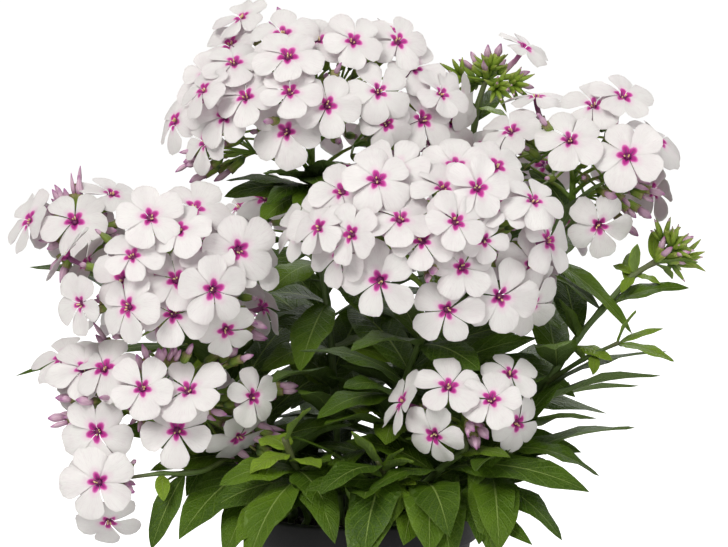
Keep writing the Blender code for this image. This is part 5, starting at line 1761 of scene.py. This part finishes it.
for number, (name, buds) in enumerate(plan["clusters"].items()):
    draws = np.random.default_rng(700 + number)
    start = buds[0]["root"]
    middles = [seen(*place) for place in SPRIGS[name]]
    grown = bud_lines(buds, draws)
    green = np.concatenate([sprig_lines(start, middle, draws) for middle in middles])
    lengths = draws.uniform(8.0, 11.0, len(grown))
    tips = join(bud_loft(tails(grown, lengths, 0.0, 13), draws.uniform(1.2, 1.6, len(grown))),
                bud_loft(slice_of(green, 0.62, 1.0, 9), draws.uniform(0.2, 0.5, len(green))))
    add_loft(name + "_tips", tips, BUD, "petals", tints(tips, len(grown) + len(green), draws))
    cups = join(calyx_loft(tails(grown, lengths + 2, lengths * 0.55, 6), 0.0, 1.0, width=1.3),
                calyx_loft(green, 0.1, 1.0, SHUT_PROFILE, SPRIG_WIDTH))
    add_loft(name + "_calyces", cups, SPRIG, "foliage",
             tints(cups, len(grown) + len(green), draws) * 0.3)
    ways = np.stack([np.linspace(start, middle, 7) for middle in middles])
    stalks = bare_loft(np.concatenate([ways, slice_of(grown, 0.0, 0.6, 7)]), 0.7, 0.45, 6)
    add_loft(name + "_twigs", stalks, SPRIG, "foliage", 0.2)
    print(name, len(grown), "buds,", len(green), "green calyces")

add_petals("edge_flower_petals", [EDGE_FLOWER], 800)
add_tubes("edge_flower_tube", [EDGE_FLOWER], None, 0.9, 0.75, 8)

# %% [markdown]
# ## Stems
# A phlox stem is a straight round rod, a little thicker at the foot and at each pair of leaves.
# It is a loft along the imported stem's own line, with more rings, so that the swellings can be
# added to its radius as bell curves. Its skin is green below and takes on purple towards the top.

# %% Stems and branches
STEM = skin_finish("stem_green", [(0, 0, (0.1, 0.13, 0.035)), (0.05, 0.4, (0.12, 0.2, 0.045)),
                                  (0.7, 1.0, (0.13, 0.15, 0.06))], 6, 0.42)
SWELLING = 0.28
SWELLING_REACH = 2.6
RINGS_EACH = 8
ROD_SIDES = 10


def rod(path, radii, bases):
    """A loft whose radius is its taper times one plus a bell curve at each leaf's base."""
    count = (len(path) - 1) * RINGS_EACH + 1
    fine = smooth_path(path, count)
    taper = np.interp(np.linspace(0, 1, count), np.linspace(0, 1, len(path)), radii)
    swell = np.zeros(count)
    for base in bases:
        away = np.linalg.norm(fine - base, axis=1)
        swell = np.maximum(swell, np.exp(-(away / SWELLING_REACH) ** 2))
    radii = (taper * (1 + SWELLING * swell))[None, :, None]
    return loft(fine[None], np.broadcast_to(radii, (1, count, ROD_SIDES)))


for name, path in plan["paths"].items():
    bases = [leaf["base"] for leaf in plan["leaves"][name]]
    rods = [rod(path, stem_radii(path), bases)]
    rods += [rod(branch, np.linspace(0.7, 0.45, len(branch)) * STEM_RADIUS, bases)
             for branch in plan["branches"][name]]
    stem = join(*rods)
    add_loft(name + "_rod", stem, STEM, "foliage", np.clip(stem[3][:, 1] - 0.3, 0, 1), [name])
    print(name, len(stem[1]), "quads,", round(float(np.ptp(path[:, 2])), 1), "mm tall")

# %% [markdown]
# ## Leaves
# A phlox leaf is lance-shaped and firm, with a clear pale midrib and side veins that arch
# towards the tip, and the blade between the veins is a little raised. The outline is a product of
# powers, along ** 0.75 * (1 - along) ** 0.95, which starts narrow, is widest before the middle
# and ends in a drawn-out tip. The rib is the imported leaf's own curve. The blade rises from it
# on both sides, its edge waves gently, and the whole turns a little about its rib.

# %% Leaf finish
def leaf_finish():
    material, nodes, shader = new_material("leaf_green", Specular_IOR_Level=0.28)
    place, side, along = nodes.places()
    across = nodes.scaled(side, 2.0, -1.0)
    midrib, veins = nodes.use(VEINS, Across=across, Along=along, Pairs=9.0, Sweep=0.22)
    _, small = nodes.use(VEINS, Across=across, Along=along, Pairs=31.0, Sweep=-0.1)
    patches = nodes.use(MOTTLE, Vector=place, Scale=60.0, Low=0.35, High=0.7)
    tint, young, under = (nodes.value(title) for title in ("tint", "young", "underside"))
    green = nodes.mix(patches, (0.03, 0.071, 0.002), (0.049, 0.106, 0.003))
    green = nodes.mix(tint, green, nodes.mix(patches, (0.071, 0.141, 0.005), (0.112, 0.2, 0.008)))
    green = nodes.mix(young, green, (0.26, 0.4, 0.03))
    edge = nodes.step(nodes.math("ABSOLUTE", across), 0.86, 1.0, 0.0, 0.25)
    green = nodes.mix(edge, green, (0.14, 0.2, 0.04))
    net = nodes.add("ShaderNodeTexVoronoi", {"Vector": place, "Scale": 620.0},
                    feature="DISTANCE_TO_EDGE").outputs["Distance"]
    net = nodes.step(net, 0.02, 0.14, 1.0, 0.0)
    for mask, share, colour in ((net, 0.22, (0.14, 0.24, 0.02)), (small, 0.1, (0.12, 0.21, 0.02)),
                                (veins, 0.32, (0.16, 0.26, 0.03)), (under, 0.6, (0.19, 0.28, 0.09)),
                                (midrib, 0.75, (0.29, 0.4, 0.1))):
        green = nodes.mix(nodes.times(mask, share), green, colour)
    nodes.feed(shader, Base_Color=green)
    grain = nodes.use(GRAIN, Vector=place, Fine=2200.0, Coarse=500.0, Coarse_share=0.6)
    dull = nodes.scaled(grain, 0.25, 0.34)
    nodes.feed(shader, Roughness=nodes.plus(dull, nodes.times(under, 0.2)))
    dents = nodes.plus(nodes.times(veins, -1.0),
                       nodes.scaled(net, -0.4, nodes.times(small, -0.25)))
    dents = nodes.plus(dents, nodes.times(midrib, -1.2))
    turned_over = nodes.scaled(under, -2.0, 1.0)
    height = nodes.plus(nodes.times(dents, turned_over), nodes.times(grain, 0.5))
    nodes.bump(shader, height, 0.65, 0.0005)
    return material


LEAF = leaf_finish()

# %% Leaf surfaces
LEAF_ROWS = np.array([0.0, 0.04, 0.1, 0.18, 0.28, 0.38, 0.48, 0.58, 0.68, 0.78, 0.87, 0.94, 1.0])
LEAF_COLUMNS = np.array([-1.0, -0.66, -0.3, 0.0, 0.3, 0.66, 1.0])
LEAF_SHEET = 0.45
YOUNG_LEAF = 30.0


def leaf_outline(along):
    """along ** 0.75 * (1 - along) ** 0.95, scaled to one at its widest, and never under 0.08."""
    breadth = along ** 0.75 * (1 - along) ** 0.95
    return np.maximum(breadth / 0.3115, 0.08 * (1 - along))


def add_leaves(name, blades, seed):
    """Shells: rib point + across * side + height * top, where the rib is a curve with one bend."""
    count = len(blades)
    draws = np.random.default_rng(seed)
    base, tip, lean, half, arch = columns(blades, "base", "tip", "lean", "half", "arch")
    reach = np.linalg.norm(tip - base, axis=1)
    back, _ = rows_square_to(unit(tip - base), lean)
    bend = (base + tip) / 2 + back * (arch * reach)[:, None]
    s = LEAF_ROWS[:, None]
    rib = base[:, None] * (1 - s) ** 2 + bend[:, None] * 2 * s * (1 - s) + tip[:, None] * s ** 2
    ahead = unit((bend - base)[:, None] * (1 - s) + (tip - bend)[:, None] * s)
    top, side = rows_square_to(ahead, lean[:, None])
    twist = draws.uniform(-0.55, 0.55, (count, 1)) * LEAF_ROWS
    twist = (twist + draws.uniform(-0.15, 0.15, (count, 1)))[..., None]
    top, side = (top * np.cos(twist) + side * np.sin(twist),
                 side * np.cos(twist) - top * np.sin(twist))
    v = LEAF_COLUMNS[None, None, :]
    wide = half[:, None, None] * leaf_outline(LEAF_ROWS)[None, :, None]
    keel = draws.uniform(0.12, 0.38, (count, 1, 1))
    phase = draws.uniform(0, ROUND, (count, 1, 1))
    wave = 0.13 * np.sin(ROUND * 2.2 * s.T[..., None] + phase + 1.3 * np.sign(v)) * v ** 2
    height = wide * (keel * np.abs(v) - 0.22 * v ** 2 + wave) + 0.1 * wide
    sheet = LEAF_SHEET * (1 + 0.8 * np.exp(-(v / 0.2) ** 2))

    def place(lift):
        return (rib[:, :, None] + side[:, :, None] * (wide * v)[..., None]
                + top[:, :, None] * (height - lift)[..., None])

    values = dict(tint=draws.uniform(0, 1, count) ** 1.7,
                  young=np.clip((YOUNG_LEAF - reach) / 12, 0, 0.8))
    add_sheets(name, place(0.0), place(sheet), (v / 2 + 0.5, s), values, LEAF, "foliage")


for number, name in enumerate(STEMS):
    add_leaves(name + "_leaves", plan["leaves"][name], 500 + number)

# %% [markdown]
# ## The pot
# The pot is the plain black nursery kind: a thin tapered wall, a thicker band at the rim for
# lifting, a small foot ring and drain holes. It is a turned shape, so it is a grid of angle by
# profile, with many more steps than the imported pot. The drain holes are cut with a Boolean that
# is applied at once.

# %% Pot
BASE_THICK = 2.0
RIM_BAND = 11.0
POT_TURNS = 128
DRAIN_RADIUS = 3.5
DRAIN_CIRCLE = 24.0
DRAIN_HOLES = 6


def wall_radius(height):
    """The outer radius of the pot's tapered wall."""
    top = POT_RIM_RADIUS - 1.8
    return POT_FOOT_RADIUS + (top - POT_FOOT_RADIUS) * height / POT_HEIGHT


def turned(profile, steps):
    """A closed turned surface: profile points go round the upright axis, with poles at the ends."""
    radii, heights = np.array(profile, float).T
    turns = np.arange(steps) * ROUND / steps
    rings = np.stack([np.outer(radii, np.cos(turns)), np.outer(radii, np.sin(turns)),
                      np.broadcast_to(heights[:, None], (len(radii), steps))], -1)
    points = np.vstack([rings.reshape(-1, 3), UP * heights[0], UP * heights[-1]])
    return points, *tube_faces(len(radii), steps)


def pot_profile():
    """From under the middle out along the foot, up the wall, over the rim and down inside."""
    band = POT_HEIGHT - RIM_BAND
    inner = wall_radius(POT_HEIGHT) - POT_WALL
    return ([(20.0, 0.0), (POT_FOOT_RADIUS - 1.4, 0.0), (wall_radius(0.8) - 0.2, 0.7)]
            + [(wall_radius(h), h) for h in (3.0, 20.0, 40.0, 60.0, 75.0, band - 1.0)]
            + [(POT_RIM_RADIUS - 0.9, band - 0.6), (POT_RIM_RADIUS - 0.5, band),
               (POT_RIM_RADIUS - 0.3, band + 2.0), (POT_RIM_RADIUS, POT_HEIGHT - 1.2),
               (POT_RIM_RADIUS - 0.25, POT_HEIGHT - 0.3), (POT_RIM_RADIUS - 0.7, POT_HEIGHT),
               (inner + 0.4, POT_HEIGHT), (inner, POT_HEIGHT - 0.4)]
            + [(wall_radius(h) - POT_WALL, h) for h in (90.0, 60.0, 30.0, BASE_THICK + 1.0)]
            + [(wall_radius(BASE_THICK) - POT_WALL - 1.0, BASE_THICK), (18.0, BASE_THICK)])


def pot_finish():
    material, nodes, shader = new_material("black_plastic", Specular_IOR_Level=0.32)
    place = nodes.place()
    height = nodes.add("ShaderNodeSeparateXYZ", {0: place}).outputs[2]
    dust = nodes.use(MOTTLE, Vector=place, Scale=70.0, Low=0.45, High=0.75)
    share = nodes.times(dust, nodes.step(height, 0.0, 0.03, 0.5, 0.06))
    nodes.feed(shader, Base_Color=nodes.mix(share, (0.006, 0.006, 0.008), (0.06, 0.052, 0.044)))
    grain = nodes.use(GRAIN, Vector=place, Fine=1400.0, Coarse=220.0, Coarse_share=0.3)
    rough = nodes.plus(nodes.scaled(grain, 0.2, 0.42), nodes.times(share, 0.4))
    nodes.feed(shader, Roughness=rough)
    nodes.bump(shader, grain, 0.35, 0.0003)
    return material


def cut_drains(pot):
    """Takes six round holes out of the base with one Boolean, applied."""
    around = np.arange(DRAIN_HOLES) * ROUND / DRAIN_HOLES
    ways = np.stack([np.cos(around), np.sin(around), 0 * around], 1) * DRAIN_CIRCLE
    paths = ways[:, None] + UP * np.linspace(-2.0, BASE_THICK + 1.0, 4)[None, :, None]
    points, quads, ends, _ = loft(paths, np.full((DRAIN_HOLES, 4, 24), DRAIN_RADIUS))
    mesh = bpy.data.meshes.new("drains")
    mesh.from_pydata((points * MM).tolist(), [], quads.tolist() + ends.tolist())
    drains = bpy.data.objects.new("drains", mesh)
    bpy.context.scene.collection.objects.link(drains)
    cut = pot.modifiers.new("drain_holes", "BOOLEAN")
    cut.object = drains
    cut.solver = "EXACT"
    graph = bpy.context.evaluated_depsgraph_get()
    pot.data = bpy.data.meshes.new_from_object(pot.evaluated_get(graph))
    pot.modifiers.clear()
    bpy.data.objects.remove(drains)


pot = make_piece("pot_body", *turned(pot_profile(), POT_TURNS), pot_finish(), "pot", ["pot"])
cut_drains(pot)
print("pot", len(pot.data.polygons), "faces")

# %% [markdown]
# ## Potting soil
# Peat-based soil is a dark, crumbly mass with a few white grains of perlite. The filling is one
# turned body whose top is lifted by several waves of different length, and by a small mound
# round each stem. Loose crumbs and grains lie on it: each is a loft of a few sides with uneven
# radii, sunk a little into the surface.

# %% Soil
SOIL_TURNS = 120
SOIL_RINGS = 34
MOUND = 1.3
CRUMBS = 420
PERLITE = 46
SOIL_REACH = 42.0
SOIL_DROP = 2.5


def soil_top(x, y):
    """The height of the soil: lower to the wall, plus waves and a mound at each stem's foot."""
    out = np.hypot(x, y)
    height = SOIL_TOP - SOIL_DROP * (out / SOIL_REACH) ** 3
    for order, (size, lift) in enumerate(((9.0, 0.45), (4.3, 0.32), (2.1, 0.22), (1.1, 0.12))):
        turn = 1.1 + order * 1.9
        ahead = (x * math.cos(turn) + y * math.sin(turn)) / size
        aside = (x * math.sin(turn) - y * math.cos(turn)) / size
        height = height + lift * np.sin(ahead + order)
        height = height + lift * np.sin(aside * 1.3 + 2 * order)
    for stem in STEMS.values():
        distance = np.hypot(x - stem["foot"][0], y - stem["foot"][1])
        height = height + MOUND * np.exp(-(distance / 3.4) ** 2)
    return height


def soil_finish(title, dark, light, rough):
    material, nodes, shader = new_material(title, Roughness=rough)
    place = nodes.place()
    clods = nodes.use(MOTTLE, Vector=place, Scale=380.0, Low=0.4, High=0.62)
    fibres = nodes.use(MOTTLE, Vector=place, Scale=1500.0, Low=0.5, High=0.7)
    colour = nodes.mix(clods, dark, light)
    brown = tuple(min(1.0, c * 1.9) for c in light)
    nodes.feed(shader, Base_Color=nodes.mix(nodes.times(fibres, 0.4), colour, brown))
    grain = nodes.use(GRAIN, Vector=place, Fine=1800.0, Coarse=500.0, Coarse_share=0.6)
    nodes.bump(shader, grain, 0.9, 0.0012)
    return material


def soil_body():
    """The turned filling: bottom, side, then the top rings with the waves."""
    low = BASE_THICK + GAP
    side = POT_WALL + GAP
    outer = wall_radius(SOIL_TOP - SOIL_DROP) - side
    profile = [(12.0, low), (wall_radius(low) - side, low), (wall_radius(45.0) - side, 45.0),
               (outer, SOIL_TOP - 3.4)]
    profile += [(radius, 0.0) for radius in np.linspace(outer - 0.3, 0.6, SOIL_RINGS)]
    points, quads, ends = turned(profile, SOIL_TURNS)
    start = 4 * SOIL_TURNS
    top = np.r_[start:len(points) - 2, len(points) - 1]
    points[top, 2] = soil_top(points[top, 0], points[top, 1])
    return points, quads, ends


def crumbs(count, size, draws):
    """Uneven grains on the soil: short lofts with a draw in every radius."""
    out = np.sqrt(draws.uniform(0, 1, count)) * SOIL_REACH
    turn = draws.uniform(0, ROUND, count)
    x, y = out * np.cos(turn), out * np.sin(turn)
    spots = np.stack([x, y, soil_top(x, y)], 1)
    way = unit(draws.normal(0, 1, (count, 3)))
    sizes = draws.uniform(*size, (count, 1, 1))
    paths = spots[:, None] + way[:, None] * np.linspace(-1, 1, 4)[None, :, None] * sizes
    radii = sizes * np.array([0.62, 1.0, 0.95, 0.5])[None, :, None]
    return loft(paths, radii * draws.uniform(0.7, 1.2, (count, 4, 5)))


SOIL = soil_finish("peat_soil", (0.014, 0.009, 0.006), (0.04, 0.025, 0.016), 0.95)
GRAINS = soil_finish("perlite", (0.5, 0.49, 0.46), (0.7, 0.69, 0.66), 0.85)
draws = np.random.default_rng(600)
soil = soil_body()
make_piece("soil_filling", *soil, SOIL, "soil", ["soil"])
loose = crumbs(CRUMBS, (0.35, 1.3), draws)
make_piece("soil_crumbs", *loose[:3], SOIL, "soil")
white = crumbs(PERLITE, (0.4, 0.9), draws)
make_piece("soil_perlite", *white[:3], GRAINS, "soil")
print("soil", len(soil[1]), "quads,", CRUMBS, "crumbs,", PERLITE, "grains")

# %% [markdown]
# ## Floor and light
# The plant stands on a plain white floor that runs back without an edge, as on a paper roll in a
# studio. A large soft light high on the left gives the shape, a weaker one on the right opens the
# shadows, and the sky fills the rest.

# %% Studio
FLOOR_SIDE = 60.0
FLOOR_GLOW = 0.8
SKY_STRENGTH = 0.34
SKY_SEEN = 1.1


def floor_finish():
    material, nodes, shader = new_material("white_paper", Roughness=0.9)
    fibre = nodes.use(MOTTLE, Vector=nodes.place(), Scale=30.0)
    nodes.feed(shader, Base_Color=nodes.mix(fibre, (0.8, 0.8, 0.8), (0.78, 0.78, 0.78)))
    shader.inputs["Emission Color"].default_value = (1.0, 1.0, 1.0, 1.0)
    to_camera = nodes.add("ShaderNodeLightPath").outputs["Is Camera Ray"]
    nodes.feed(shader, Emission_Strength=nodes.times(to_camera, FLOOR_GLOW))
    return material


def area_light(name, place, aimed_at, side, power, colour=(1.0, 1.0, 1.0)):
    light = bpy.data.lights.new(name, "AREA")
    light.size = side
    light.energy = power
    light.color = colour
    lamp = bpy.data.objects.new(name, light)
    lamp.location = place
    lamp.rotation_euler = (Vector(aimed_at) - Vector(place)).to_track_quat("-Z", "Y").to_euler()
    bpy.context.scene.collection.objects.link(lamp)


half = FLOOR_SIDE / 2
mesh = bpy.data.meshes.new("floor")
mesh.from_pydata([(-half, -half, 0), (half, -half, 0), (half, half, 0), (-half, half, 0)], [],
                 [(0, 1, 2, 3)])
mesh.materials.append(floor_finish())
floor = bpy.data.objects.new("floor", mesh)
bpy.context.scene.collection.objects.link(floor)
area_light("key", (-0.8, -1.5, 1.6), (0, 0, 0.2), 1.0, 29.0, (1.0, 0.98, 0.945))
area_light("fill", (1.3, -1.3, 0.8), (0, 0, 0.2), 1.0, 8.0, (1.0, 0.985, 0.96))
area_light("back", (0.3, 1.4, 1.2), (0, 0, 0.25), 0.8, 9.0)
sky = bpy.data.worlds.new("studio")
sky.use_nodes = True
air = Nodes(sky.node_tree)
background = sky.node_tree.nodes["Background"].inputs
background["Color"].default_value = (1.0, 0.985, 0.965, 1.0)
to_camera = air.add("ShaderNodeLightPath").outputs["Is Camera Ray"]
strength = air.scaled(to_camera, SKY_SEEN - SKY_STRENGTH, SKY_STRENGTH)
sky.node_tree.links.new(strength, background["Strength"])
bpy.context.scene.world = sky
bpy.context.scene.view_settings.view_transform = "Standard"
